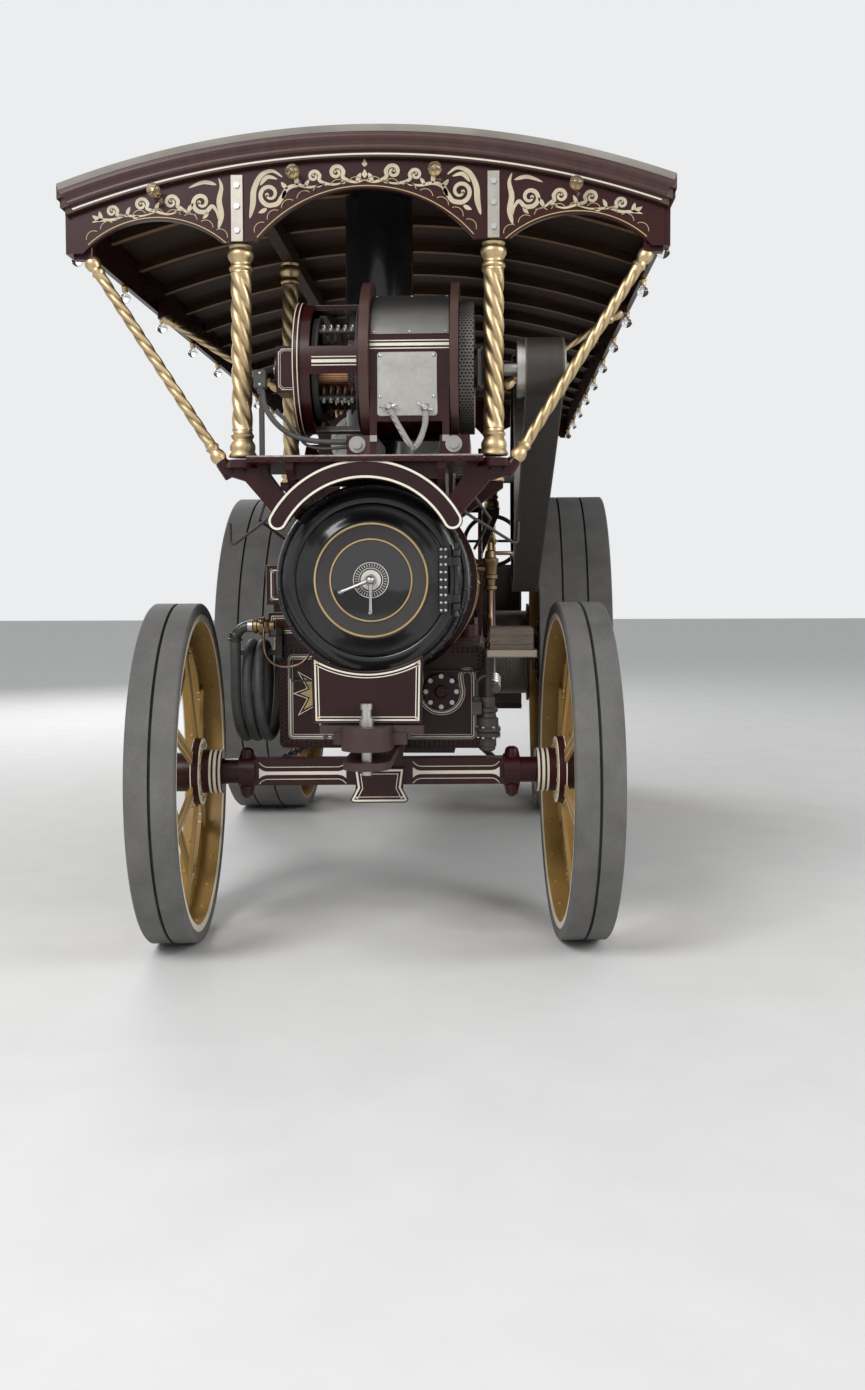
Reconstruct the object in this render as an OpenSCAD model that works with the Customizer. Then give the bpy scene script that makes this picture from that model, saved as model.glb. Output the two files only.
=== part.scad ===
// Showman's road locomotive, a steam traction engine with a full canopy and a front dynamo.
// Millimetres. X is across (nearside +X), Y runs back along the engine, Z is up.
// The origin is on the ground under the middle of the whole engine.

/* [Overall] */
// Distance between the front and rear axles
wheelbase = 3490; // [3300:10:3700]
// Reach of the canopy behind the rear axle
canopy_tail = 2260; // [2000:10:2500]
// Height of the boiler's centre line
boiler_z = 1512; // [1480:2:1540]

/* [Front wheels] */
// Radius over the rubber of a front wheel
front_r = 710; // [690:2:730]
// Distance from the centre line to a front wheel's inner side
front_in = 745; // [735:1:760]
// Width of a front wheel
front_w = 190; // [160:2:220]
// Angle at which the front axle stands, anticlockwise seen from above
rest_steer = 3.49; // [0:0.01:6]
// Number of spokes in a front wheel
front_spokes = 12; // [8:2:16]

/* [Rear wheels] */
// Radius over the rubber of a rear wheel
rear_r = 1050; // [1000:5:1100]
// Distance from the centre line to a rear wheel's inner side
rear_in = 770; // [760:1:790]
// Width of a rear wheel
rear_w = 446; // [380:2:480]
// Number of spokes in a rear wheel, half on each ring
rear_spokes = 20; // [12:2:28]
// Thickness of the rubber on every wheel
rubber_t = 45; // [35:1:55]
// Width of the groove between two strips of rubber
groove_w = 12; // [8:1:18]

/* [Front axle] */
// Height of the axle beam's section
beam_h = 110; // [90:2:130]
// Depth of the axle beam's section
beam_d = 90; // [70:2:110]
// Half length of the square part of the beam
beam_half = 530; // [500:5:550]
// Radius of an axle journal
journal_r = 38; // [32:1:44]
// Running clearance round every journal and pin
run_gap = 0.06; // [0.03:0.01:0.09]
// Radius of the steering pivot pin
perch_pin_r = 32; // [26:1:38]

/* [Boiler] */
// Outer radius of the smokebox
smokebox_r = 386; // [380:1:402]
// Thickness of the smokebox plate
smokebox_t = 12; // [8:1:18]
// Outer radius of the lagged barrel
barrel_r = 408; // [400:1:412]
// Outer radius of the ring round the smokebox door
door_ring_r = 366; // [350:1:375]
// Radius of the smokebox door
door_r = 303; // [296:1:306]
// Radius of the chimney
chimney_r = 144; // [120:1:155]
// Height of the chimney's top
chimney_top = 3360; // [3300:5:3420]

/* [Canopy] */
// Half width of the roof over its cornice
roof_half = 1161; // [1140:1:1180]
// Height of the roof's underside edge at the eaves
eaves_z = 2962; // [2940:1:2980]
// Rise of the roof from eaves to crown
roof_rise = 200; // [170:1:230]
// Thickness of the roof boards
roof_t = 42; // [30:1:50]
// Distance of the canopy's front from the front axle
canopy_nose = 578; // [560:1:600]
// Height of the fascia's lower edge at the pillars
fascia_low = 2792; // [2770:1:2810]
// Radius of a twisted pillar
pillar_r = 40; // [30:1:42]
// Pitch of the twist
twist_pitch = 340; // [240:5:420]
// Distance of the front pillars from the centre line
pillar_x = 484; // [470:1:500]

/* [Dynamo] */
// Height of the dynamo's shaft
dynamo_z = 2335; // [2320:1:2350]
// Distance of the dynamo's shaft ahead of the front axle
dynamo_front = 350; // [340:1:360]
// Outer radius of the dynamo's yoke rings
yoke_r = 330; // [310:1:335]
// Radius of the dynamo's pulley
pulley_r = 110; // [90:1:130]
// Height of the dynamo platform
platform_z = 1978; // [1970:1:1990]

/* [Engine work] */
// Distance of the crankshaft behind the front axle
crank_back = 2400; // [2350:5:2450]
// Height of the crankshaft
crank_z = 2160; // [2145:1:2180]
// Radius of the crankshaft
crank_r = 48; // [40:1:55]
// Throw of each crank
crank_throw = 127; // [110:1:134]
// Radius of the flywheel
flywheel_r = 690; // [640:5:710]
// Distance from the centre line to the belt's inner edge
belt_in = 605; // [600:1:615]
// Width of the belt
belt_w = 150; // [130:1:155]
// Thickness of the belt
belt_t = 8; // [6:0.5:10]

/* [Tender] */
// Half width of the tender
tender_half = 700; // [660:5:720]
// Reach of the tender behind the rear axle
tender_tail = 1650; // [1550:10:1700]
// Thickness of the tender's sheets
sheet_t = 12; // [8:1:16]
// Height of the footplate floor
floor_z = 1150; // [1140:1:1200]
// Radius of the rear axle
rear_axle_r = 65; // [55:1:75]

/* [Water] */
// Half width of the belly tank
tank_half = 445; // [430:1:450]
// Diameter of the suction hose
hose_d = 48; // [40:1:50]

/* [Hidden] */
$fn = 96;
eps = 0.01;
// Gap between a piece and its seat, and between two bodies that all but touch
seat = 0.3;

// The front-most point is the corner of the offside front tyre at the angle of rest
front_out = front_in + front_w;
nose_reach = front_r * cos(rest_steer) + front_out * sin(rest_steer);
front_axle_y = -(wheelbase + canopy_tail - nose_reach) / 2;
rear_axle_y = front_axle_y + wheelbase;
rear_out = rear_in + rear_w;
// Places along the engine are given from the front axle and set into the row's frame by at()
function at(y) = front_axle_y + y;

// Distance of the tender's front sheets behind the rear axle
tender_front = 460;

// Boiler stations, from the front axle
smokebox_front = -300;
smokebox_back = 420;
barrel_back = 1760;
firebox_back = 2780;
firebox_half = 385;
firebox_low = 790;
hinge_x = 335;
hinge_y = -348;
hinge_r = 8;
knuckle_r = 16;
opening_r = 290;
chimney_y = 135;
boiler_top = boiler_z + barrel_r;

// Roof arc: outer radius from its rise and half width
roof_r = (roof_half * roof_half + roof_rise * roof_rise) / (2 * roof_rise);
roof_crown = eaves_z + roof_t + roof_rise;
roof_axis_z = roof_crown - roof_r;
canopy_front_y = at(-canopy_nose);
canopy_back_y = rear_axle_y + canopy_tail;
valance_x = 1122;
valance_t = 22;
valance_low = 2812;
function roof_under(x) = roof_axis_z + sqrt(pow(roof_r - roof_t, 2) - x * x);

// Crankshaft, belt and dynamo
crank_y = at(crank_back);
dynamo_y = at(-dynamo_front);
belt_out = belt_in + belt_w;
web_sweep = crank_throw + 80;

// Hornplates
horn_in = 405;
horn_t = 20;
horn_out = horn_in + horn_t;
horn_front = 1763;
horn_back = wheelbase + tender_front - seat;

// Suction hose
coil_front = -26;
coil_run = 400;
coil_r = 200;
coil_low = 1039;
coil_high = 1040;
coil_x = -606;
coil_lane = 49;
coil_turns = 2.5;
lead_top = 1262;
lead_low = 1185;

module both_sides() {
    children();
    mirror([1, 0, 0]) children();
}

// A solid of revolution about X, from x0 to x1
module drum_x(x0, x1, r, ri = 0) {
    translate([x0, 0, 0]) rotate([0, 90, 0])
        difference() {
            cylinder(h = x1 - x0, r = r);
            if (ri > 0) translate([0, 0, -1]) cylinder(h = x1 - x0 + 2, r = ri);
        }
}

// A solid of revolution about Y, from y0 to y1
module drum_y(y0, y1, r, ri = 0) {
    translate([0, y1, 0]) rotate([90, 0, 0])
        difference() {
            cylinder(h = y1 - y0, r = r);
            if (ri > 0) translate([0, 0, -1]) cylinder(h = y1 - y0 + 2, r = ri);
        }
}

// A profile drawn as [radius, distance along] turned about the X axis
module turned_x(points) {
    rotate([0, 90, 0]) rotate_extrude() polygon(points);
}

module block(low, high) {
    translate(low) cube(high - low);
}

// A round bar between two points
module bar(a, b, r) {
    d = b - a;
    length = norm(d);
    translate(a) rotate([0, acos(d[2] / length), atan2(d[1], d[0])]) cylinder(h = length, r = r, $fn = 32);
}

// An outline in the plane across the engine, from y to y + t
module plate_xz(y, t) {
    translate([0, y + t, 0]) rotate([90, 0, 0]) linear_extrude(t) children();
}

// An outline drawn as [y, z], from x to x + t
module plate_yz(x, t) {
    translate([x, 0, 0]) rotate([90, 0, 90]) linear_extrude(t) children();
}

module rounded_rect(low, high, r) {
    translate([low[0], low[1] + r]) square([high[0] - low[0], high[1] - low[1] - 2 * r]);
    translate([low[0] + r, low[1]]) square([high[0] - low[0] - 2 * r, high[1] - low[1]]);
    for (x = [low[0] + r, high[0] - r], y = [low[1] + r, high[1] - r])
        translate([x, y]) circle(r, $fn = 48);
}

module steered() {
    translate([0, front_axle_y, 0]) rotate([0, 0, rest_steer]) children();
}

// Boiler

module smokebox() {
    color("black") translate([0, front_axle_y, boiler_z]) {
        difference() {
            union() {
                drum_y(smokebox_front, smokebox_back, smokebox_r);
                drum_y(smokebox_front - 26, smokebox_front, door_ring_r);
                drum_y(smokebox_front - 14, smokebox_front + 20, smokebox_r - 8);
            }
            drum_y(smokebox_front + smokebox_t, smokebox_back - smokebox_t, smokebox_r - smokebox_t);
            drum_y(smokebox_front - 40, smokebox_front + 40, opening_r);
        }
        for (z = [-120, 92])
            translate([hinge_x, hinge_y, z]) {
                cylinder(h = 28, r = knuckle_r);
                translate([-8, 0, 0]) cube([24, 30, 28]);
            }
        translate([hinge_x, hinge_y, -118]) cylinder(h = 236, r = hinge_r);
    }
}

module smokebox_door() {
    color("black") translate([0, front_axle_y, boiler_z]) {
        difference() {
            union() {
                drum_y(smokebox_front - 44, smokebox_front - 26 - seat, door_r);
                // The dished middle of the door
                translate([0, smokebox_front - 44, 0]) rotate([90, 0, 0]) rotate_extrude()
                    polygon([[0, 0], [door_r - 24, 0], [door_r - 60, 12], [232, 18], [0, 18]]);
                // Two hinge straps to the knuckles
                for (z = [-89, 55])
                    translate([160, hinge_y - 8, z]) cube([hinge_x - 160, 16, 34]);
                for (z = [-91, 55])
                    translate([hinge_x, hinge_y, z]) cylinder(h = 36, r = knuckle_r);
            }
            translate([hinge_x, hinge_y, -130]) cylinder(h = 260, r = hinge_r + run_gap);
        }
    }
}

module door_fittings() {
    face = smokebox_front - 62 - seat;
    color("goldenrod") translate([0, front_axle_y, boiler_z]) {
        difference() {
            union() {
                drum_y(face - 8, face, 227);
                drum_y(face - 12, face - 4, 227, 219);
                drum_y(face - 12, face - 4, 166, 157);
            }
            drum_y(face - 9, face + 1, 157);
        }
        drum_y(face - 14, face, 70);
        drum_y(face - 62, face - 14, 18);
        for (a = [[-157, 44], [-90, 38]])
            translate([0, face - a[1], 0]) rotate([0, -a[0], 0]) {
                translate([0, -6, -9]) cube([128, 12, 18]);
                translate([128, 6, 0]) rotate([90, 0, 0]) cylinder(h = 30, r = 9);
            }
    }
}

module chimney() {
    low = sqrt(pow(smokebox_r, 2) - pow(chimney_r + 60, 2));
    color("black") translate([0, at(chimney_y), 0]) {
        difference() {
            union() {
                // Saddle, barrel, collar at the roof and the cap above it
                translate([0, 0, boiler_z + low]) cylinder(h = 130, r1 = chimney_r + 62, r2 = chimney_r + 8);
                translate([0, 0, boiler_z + low + 110]) cylinder(h = 36, r = chimney_r + 16);
                translate([0, 0, boiler_z + low + 100]) cylinder(h = chimney_top - boiler_z - low - 100, r = chimney_r);
                translate([0, 0, chimney_top - 96]) rotate_extrude()
                    polygon([[0, 0], [chimney_r, 0], [chimney_r + 8, 20], [chimney_r + 30, 70],
                        [chimney_r + 30, 96], [0, 96]]);
            }
            translate([0, 0, boiler_z]) cylinder(h = 2200, r = chimney_r - 14);
            translate([0, 0, boiler_z]) rotate([90, 0, 0]) cylinder(h = 900, r = smokebox_r + seat, center = true);
        }
    }
}

module boiler() {
    color("maroon") translate([0, front_axle_y, boiler_z]) {
        drum_y(smokebox_back, barrel_back, barrel_r);
        for (y = [smokebox_back + 6, 830, 1240, barrel_back - 60])
            drum_y(y, y + 50, barrel_r + 4);
    }
}

module firebox() {
    color("maroon") difference() {
        union() {
            translate([0, front_axle_y, boiler_z]) drum_y(barrel_back, firebox_back, barrel_r - 6);
            block([-firebox_half, at(barrel_back), firebox_low], [firebox_half, at(firebox_back), boiler_z]);
            // Ashpan, narrowing to its bottom
            translate([0, at(barrel_back + 60), 0]) rotate([-90, 0, 0]) linear_extrude(firebox_back - barrel_back - 120)
                polygon([[-330, -firebox_low], [330, -firebox_low], [270, -560], [-270, -560]]);
        }
        // Its sides are flat between the hornplates
        both_sides() block([firebox_half, at(barrel_back) - 1, 500], [900, at(firebox_back) + 1, 2400]);
        translate([0, at(firebox_back) - 200, 700]) cube([300, 100, 120], center = true);
    }
}

module hornplates() {
    side = [[horn_front, 1180], [horn_front, 1750], [1960, 2060], [2120, 2290], [2680, 2290],
        [2900, 2060], [3120, 1560], [horn_back, 1480], [horn_back, 760], [wheelbase - 130, 760], [2820, 860],
        [2700, 1180]];
    color("maroon") difference() {
        union() {
            for (x = [-horn_out, horn_in]) plate_yz(x, horn_t) translate([front_axle_y, 0]) polygon(side);
            // Bearing bosses for the crankshaft and the rear axle
            both_sides() {
                translate([0, crank_y, crank_z]) drum_x(horn_in - 70, horn_out, crank_r + 42);
                translate([0, crank_y, crank_z]) drum_x(horn_in - 70, horn_in, crank_r + 30);
                translate([0, rear_axle_y, rear_r]) drum_x(horn_in - 50, horn_out + 30, rear_axle_r + 32);
            }
            // Stay plates between the two sides, in front of the cranks and behind the firebox
            block([-horn_in, at(2010), 1958], [horn_in, at(2030), 2080]);
            block([-horn_in, at(2740), 1958], [horn_in, at(2760), 2200]);
        }
        translate([0, crank_y, crank_z]) drum_x(-600, 600, crank_r + run_gap);
        translate([0, rear_axle_y, rear_r]) drum_x(-600, 600, rear_axle_r);
        translate([0, crank_y, crank_z]) drum_x(-horn_in + 71, horn_in - 71, web_sweep + 30);
    }
}

// Engine work on top of the boiler

cylinder_front = 620;
cylinder_back = 1120;
cylinder_top = 2330;
bore_x = 140;

module cylinder_block() {
    color("maroon") difference() {
        union() {
            plate_xz(at(cylinder_front), cylinder_back - cylinder_front) union() {
                for (s = [-1, 1]) translate([s * bore_x, crank_z]) circle(r = 158);
                translate([-298, boiler_top - 60]) square([596, crank_z - boiler_top + 60]);
                translate([-200, crank_z]) square([400, cylinder_top - crank_z]);
                // The slanted valve chest on each side
                polygon([[-298, crank_z - 90], [-330, crank_z - 40], [-330, crank_z + 60], [-298, crank_z + 110]]);
                polygon([[298, crank_z - 90], [330, crank_z - 40], [330, crank_z + 60], [298, crank_z + 110]]);
            }
            // Covers at both ends of each bore
            for (s = [-1, 1]) translate([s * bore_x, front_axle_y, crank_z]) {
                drum_y(cylinder_front - 34, cylinder_front, 128);
                drum_y(cylinder_front - 46, cylinder_front - 34, 96);
                drum_y(cylinder_back, cylinder_back + 26, 128);
                drum_y(cylinder_back + 26, cylinder_back + 96, 44);
            }
            translate([0, at(870), cylinder_top]) cylinder(h = 30, r = 150);
        }
        translate([0, front_axle_y, boiler_z]) drum_y(300, 1500, barrel_r + 4 + seat);
    }
}

module cylinder_fittings() {
    top = cylinder_top + 30 + seat;
    color("goldenrod") {
        // Safety valve column with two bonnets
        translate([0, at(870), top]) cylinder(h = 70, r = 70);
        for (s = [-1, 1]) translate([s * 38, at(870), top + 60]) {
            cylinder(h = 90, r = 27);
            translate([0, 0, 90]) cylinder(h = 26, r1 = 34, r2 = 20);
        }
        // Whistle
        translate([-160, at(760), cylinder_top + seat]) {
            cylinder(h = 130, r = 9);
            translate([0, 0, 120]) cylinder(h = 90, r = 22);
        }
        // Governor: column, arms and two balls
        translate([160, at(1060), cylinder_top + seat]) {
            cylinder(h = 250, r = 15);
            translate([0, 0, 40]) cylinder(h = 40, r = 34);
            translate([0, 0, 250]) cylinder(h = 24, r = 22);
            for (s = [-1, 1]) {
                bar([0, 0, 240], [s * 78, 0, 175], 7);
                translate([s * 82, 0, 168]) sphere(r = 26, $fn = 48);
            }
        }
        // Displacement lubricator
        translate([-160, at(980), cylinder_top + seat]) {
            cylinder(h = 120, r = 26);
            translate([0, 0, 120]) cylinder(h = 30, r1 = 26, r2 = 12);
        }
    }
}

crosshead_y = 1640;
motion_end = 1990;

module motion() {
    color("silver") difference() {
    for (s = [-1, 1]) translate([s * bore_x, 0, 0]) {
        // Slide bars
        for (z = [crank_z - 74, crank_z + 50])
            block([-24, at(cylinder_back + 26 + seat), z], [24, at(motion_end), z + 24]);
        // Piston rod, crosshead and the short front part of the connecting rod
        bar([0, at(cylinder_back + 97), crank_z], [0, at(crosshead_y), crank_z], 19);
        block([-34, at(crosshead_y - 90), crank_z - 50 + seat], [34, at(crosshead_y + 90), crank_z + 50 - seat]);
        block([-17, at(crosshead_y + 80), crank_z - 28], [17, at(crank_back - web_sweep - 8), crank_z + 28]);
        // Bracket that carries the bars, standing on the boiler
        block([-60, at(motion_end - 30), boiler_top - 90], [60, at(motion_end), crank_z - 50]);
        block([-60, at(motion_end - 30), crank_z + 50], [60, at(motion_end), crank_z + 110]);
        both_sides() block([38, at(motion_end - 30), crank_z - 60], [60, at(motion_end), crank_z + 60]);
    }
        translate([0, front_axle_y, boiler_z]) drum_y(1700, 2200, barrel_r - 6 + seat);
    }
}

module motion_covers() {
    front = cylinder_back + seat;
    back = 2010 - seat;
    color("maroon") both_sides()
        plate_yz(338, 8) translate([front_axle_y, 0])
            polygon([[front, 2000], [back, 2000], [back, 2290], [1900, 2330], [front, 2330]]);
    color("maroon") for (y = [front, 1880])
        block([-339, at(y), 2290], [339, at(y) + 14, 2330]);
}

// Closed cover over the gears at the offside end of the crankshaft
module gear_cover() {
    color("maroon") difference() {
        plate_yz(-620, 620 - horn_out - seat) translate([front_axle_y, 0]) union() {
            translate([crank_back, crank_z]) circle(r = 190);
            translate([crank_back + 300, crank_z - 300]) circle(r = 240);
            // Straight sides between the two round ends, tucked just inside them
            translate([crank_back, crank_z]) rotate(-45) polygon([[0, -187], [0, 187], [424, 237], [424, -237]]);
        }
        translate([0, crank_y, crank_z]) drum_x(-horn_out - 30, -horn_out + 1, crank_r + 6);
    }
}

// Crankshaft, flywheel and belt

module crankshaft() {
    color("silver") translate([0, crank_y, crank_z]) {
        // Two throws at a right angle; the pins stand between pairs of webs
        drum_x(-horn_out - 5, -bore_x - 62, crank_r);
        drum_x(-bore_x + 62, bore_x - 62, crank_r);
        drum_x(bore_x + 62, belt_in + 146, crank_r);
        for (c = [[-bore_x, 45], [bore_x, -45]])
            translate([c[0], 0, 0]) rotate([c[1], 0, 0]) {
                for (x = [-62, 32]) plate_yz(x, 30) union() {
                    circle(r = 66);
                    translate([0, crank_throw]) circle(r = 62);
                    translate([-60, 0]) square([120, crank_throw]);
                }
                translate([0, 0, crank_throw]) drum_x(-33, 33, 40);
                // Big end strap
                translate([0, 0, crank_throw]) drum_x(-24, 24, 74);
            }
        // Eccentrics for the valve gear
        for (x = [-30, 4]) translate([0, 14, 0]) drum_x(x, x + 26, 92);
    }
}

module flywheel() {
    bore = crank_r + run_gap;
    hub = crank_r + 62;
    color("maroon") translate([0, crank_y, crank_z])
        turned_x([[bore, belt_in + 20], [hub, belt_in + 20], [hub, belt_in + 52],
            [flywheel_r - 52, belt_in + 62], [flywheel_r - 52, belt_in], [flywheel_r, belt_in],
            [flywheel_r, belt_out], [flywheel_r - 40, belt_out], [flywheel_r - 52, belt_in + 86],
            [hub, belt_in + 74], [hub, belt_in + 130], [bore, belt_in + 130]]);
}

// The open belt: arcs round the flywheel and the pulley, and the two straight runs between them
belt_span = [crank_y - dynamo_y, crank_z - dynamo_z];
belt_tilt = atan2(belt_span[1], belt_span[0]);

module belt_outline(grow) {
    far_r = flywheel_r + grow;
    near_r = pulley_r + grow;
    lean = asin((far_r - near_r) / norm(belt_span));
    up = belt_tilt + 90 + lean;
    down = belt_tilt - 90 - lean;
    far = [crank_y, crank_z];
    near = [dynamo_y, dynamo_z];
    translate(far) circle(far_r);
    translate(near) circle(near_r);
    polygon([far + far_r * [cos(up), sin(up)], near + near_r * [cos(up), sin(up)],
        near + near_r * [cos(down), sin(down)], far + far_r * [cos(down), sin(down)]]);
}

module drive_belt() {
    color("dimgray") plate_yz(belt_in, belt_w) difference() {
        belt_outline(seat + belt_t);
        belt_outline(seat);
    }
}

// Dynamo on its platform

module dynamo_bracket() {
    low = platform_z - 25;
    color("maroon") {
        difference() {
            union() {
                block([-445, at(-620), low], [445, at(-90), platform_z]);
                // Webs down to the smokebox, and a front lip
                for (x = [-300, 270])
                    plate_yz(x, 30) translate([front_axle_y, 0])
                        polygon([[-600, low], [-600, low - 26], [-290, low - 250], [-120, low - 250], [-120, low]]);
                for (y = [-560, -200]) block([-290, at(y), low - 60], [290, at(y) + 24, low]);
                // Arms that carry the feet of the front pillars
                both_sides() plate_xz(at(-512), 84)
                    polygon([[380, low + 14], [520, low + 14], [566, low - 10], [556, low - 34], [470, low - 60],
                        [322, low - 232], [276, low - 232], [276, low - 176], [384, low - 24]]);
                both_sides() translate([pillar_x, at(-470), low - 12]) cylinder(h = platform_z + 8 - low, r1 = 78, r2 = 58);
                // Bosses in line with the slanting stays
                both_sides() bar(stay_foot - 64 * stay_dir, stay_foot, 26);
            }
            translate([0, front_axle_y, boiler_z]) drum_y(-700, 500, smokebox_r + seat);
        }
    }
}

module dynamo_field() {
    color("maroon") translate([0, dynamo_y, dynamo_z]) {
        // Yoke rings at both ends of the magnet box
        drum_x(-16, 20, yoke_r, yoke_r - 80);
        drum_x(322, 352, yoke_r, yoke_r - 80);
        // Magnet box, open through its middle for the armature
        difference() {
            union() {
                drum_x(20, 322, yoke_r - 52);
                block([20, -(yoke_r - 50), -110], [322, 0, 84]);
                // Terminal box under it, behind the blank plate
                block([40, -(yoke_r - 53), -236], [300, -120, -52]);
                // Ribs on both sides of the box, down to the feet
                for (x = [22, 292]) block([x, -(yoke_r - 53), -310], [x + 26, -200, -52]);
            }
            drum_x(10, 330, 176);
        }
        // Feet on the platform, with a saddle under each yoke ring
        for (x = [-66, 282]) {
            block([x, -268, platform_z - dynamo_z + seat], [x + 112, 150, -286]);
            block([x + 42, -120, -300], [x + 68, 120, -254]);
        }
    }
    color("gainsboro") translate([0, dynamo_y, dynamo_z])
        for (x = [-26, 334]) translate([x, 0, -320]) {
            drum_y(-276, -268, 31);
            drum_y(-292, -276, 18);
        }
}

// Brush gear cage at the offside end and perforated guard at the nearside end, with the bearings
cage_windows = 4;
cage_open = 66;
cage_turn = 45;
module dynamo_end_frames() {
    color("maroon") translate([0, dynamo_y, dynamo_z]) {
        difference() {
            union() {
                drum_x(-266, -16 - seat, 248);
                drum_x(-272, -246, 258);
            }
            drum_x(-250, -15, 228);
            // Windows between the bars
            for (i = [0:cage_windows - 1]) rotate([cage_turn + i * 360 / cage_windows, 0, 0])
                plate_yz(-208, 176) polygon([[0, 0], [360, -360 * tan(cage_open / 2)], [360, 360 * tan(cage_open / 2)]]);
            drum_x(-300, -200, crank_r);
        }
        difference() {
            drum_x(352 + seat, 410, 252);
            drum_x(351, 400, 240);
            drum_x(390, 500, crank_r);
        }
        // Bearing boxes round the shaft
        for (x = [[-366, -266], [410, 486]]) difference() {
            union() {
                block([x[0] + 8, -75, -96], [x[1], 75, 84]);
                drum_x(x[0], x[1], 75);
            }
            drum_x(x[0] - 1, x[1] + 1, 26 + run_gap);
        }
    }
}

module dynamo_rotor() {
    color("silver") translate([0, dynamo_y, dynamo_z]) {
        drum_x(-376, belt_out + 20, 26);
        // Armature with its end windings, and the commutator
        drum_x(30, 314, 160);
        drum_x(-74, 30, 148);
        drum_x(-196, -74, 104);
        // Crowned pulley under the belt
        drum_x(belt_in - 12, belt_out + 6, pulley_r);
        drum_x(belt_in - 30, belt_in - 12, pulley_r + 4);
        drum_x(belt_in - 30, belt_in + 40, 60);
    }
}

// Front of the engine, below the smokebox

module perch_bracket() {
    color("maroon") difference() {
        union() {
            plate_xz(at(-140), 262) polygon([[-200, 1180], [200, 1180], [140, 1030], [112, 820], [-112, 820], [-140, 1030]]);
            translate([0, front_axle_y, 812]) cylinder(h = 30, r = 104);
            // Pivot pin of the front axle
            translate([0, front_axle_y, 612]) cylinder(h = 220, r = perch_pin_r);
            translate([0, front_axle_y, 600]) cylinder(h = 26, r = perch_pin_r + 18);
        }
        translate([0, front_axle_y, boiler_z]) drum_y(-700, 500, smokebox_r + seat);
    }
}

jaw_y = -592;
module towing_jaw() {
    color("maroon") difference() {
        union() {
            // Casting from the perch bracket forward to the pin
            block([-96, at(jaw_y), 868], [96, at(-140 - seat), 958]);
            block([-182, at(-566), 926], [214, at(-500), 958]);
            block([-128, at(-576), 886], [150, at(-500), 930]);
            translate([0, at(jaw_y), 868]) cylinder(h = 90, r = 96);
            block([-90, at(jaw_y), 796], [90, at(-140 - seat), 826]);
            translate([0, at(jaw_y), 796]) cylinder(h = 30, r = 90);
            block([-60, at(-380), 820], [60, at(-140 - seat), 880]);
        }
        translate([0, at(jaw_y), 700]) cylinder(h = 400, r = 20 + run_gap);
    }
    color("silver") translate([0, at(jaw_y), 772]) {
        cylinder(h = 250, r = 20);
        translate([0, 0, 250]) cylinder(h = 22, r = 25);
        translate([0, 0, 186 + seat]) cylinder(h = 30, r = 28);
    }
}

module number_plate() {
    dish_r = 400;
    color("dimgray") {
        plate_xz(at(-556), 12) difference() {
            polygon([[-205, 968], [205, 968], [210, 1224], [-210, 1224]]);
            translate([0, 1161 + dish_r]) circle(dish_r);
        }
        // Bracket back to the jaw
        both_sides() block([120, at(-545), 958 + seat], [150, at(-516), 1090]);
    }
}

// Blank arched plate under the front edge of the dynamo platform
module arched_plate() {
    outer = 414;
    inner = 338;
    centre_z = 1551;
    cut = 23;
    color("maroon") plate_xz(at(-614), 12) difference() {
        translate([0, centre_z]) circle(outer, $fn = 128);
        translate([0, centre_z]) circle(inner, $fn = 128);
        polygon([[0, centre_z], [700 * cos(cut), centre_z + 700 * sin(cut)], [900, centre_z - 900],
            [-900, centre_z - 900], [-700 * cos(cut), centre_z + 700 * sin(cut)]]);
        translate([-300, platform_z - 25 - seat]) square([600, 60]);
    }
}

module belly_tank() {
    front = 132;
    back = 1500;
    color("maroon") difference() {
        union() {
            plate_xz(at(front), back - front) rounded_rect([-tank_half, 790], [tank_half, 1232], 26);
            // Angle iron round the front edge
            plate_xz(at(front - 8), 8) difference() {
                rounded_rect([-tank_half, 790], [tank_half, 1232], 26);
                rounded_rect([-tank_half + 34, 824], [tank_half - 34, 1198], 12);
            }
            // Filler lid on the nearside, ahead of the motion
            translate([340, at(1380), 1232]) cylinder(h = 60, r = 62);
        }
        translate([0, front_axle_y, boiler_z]) drum_y(-700, 1700, barrel_r + 4 + seat);
    }
}

// Two lined lockers on the offside, one above the other on the tank beside the smokebox
module side_lockers() {
    color("maroon") difference() {
        union() {
            block([-500, at(126), 1412], [-300, at(336), 1584]);
            block([-494, at(126), 1272], [-300, at(336), 1380]);
            block([-440, at(140), 1232 + seat], [-300, at(330), 1272]);
            block([-470, at(150), 1380], [-340, at(320), 1412]);
        }
        translate([0, front_axle_y, boiler_z]) drum_y(-700, 1700, barrel_r + 4 + seat);
    }
}

module footboard() {
    color("maroon") {
        // Lined box on the nearside with the feed pump under it
        block([468, at(-300), 1216], [640, at(120), 1318]);
        block([tank_half + seat, at(100), 1176], [476, at(260), 1220]);
        translate([460, at(-60), 0]) {
            translate([0, 0, 820]) cylinder(h = 205, r = 28);
            translate([0, 0, 1020]) cylinder(h = 196, r = 14);
            translate([0, 0, 870]) cylinder(h = 60, r = 40);
        }
        block([tank_half + seat, at(140), 880], [478, at(170), 1180]);
        block([tank_half + seat, at(-60), 880], [478, at(150), 910]);
    }
}

// Front axle and its wheels. All of this stands at the angle of rest.

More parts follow.
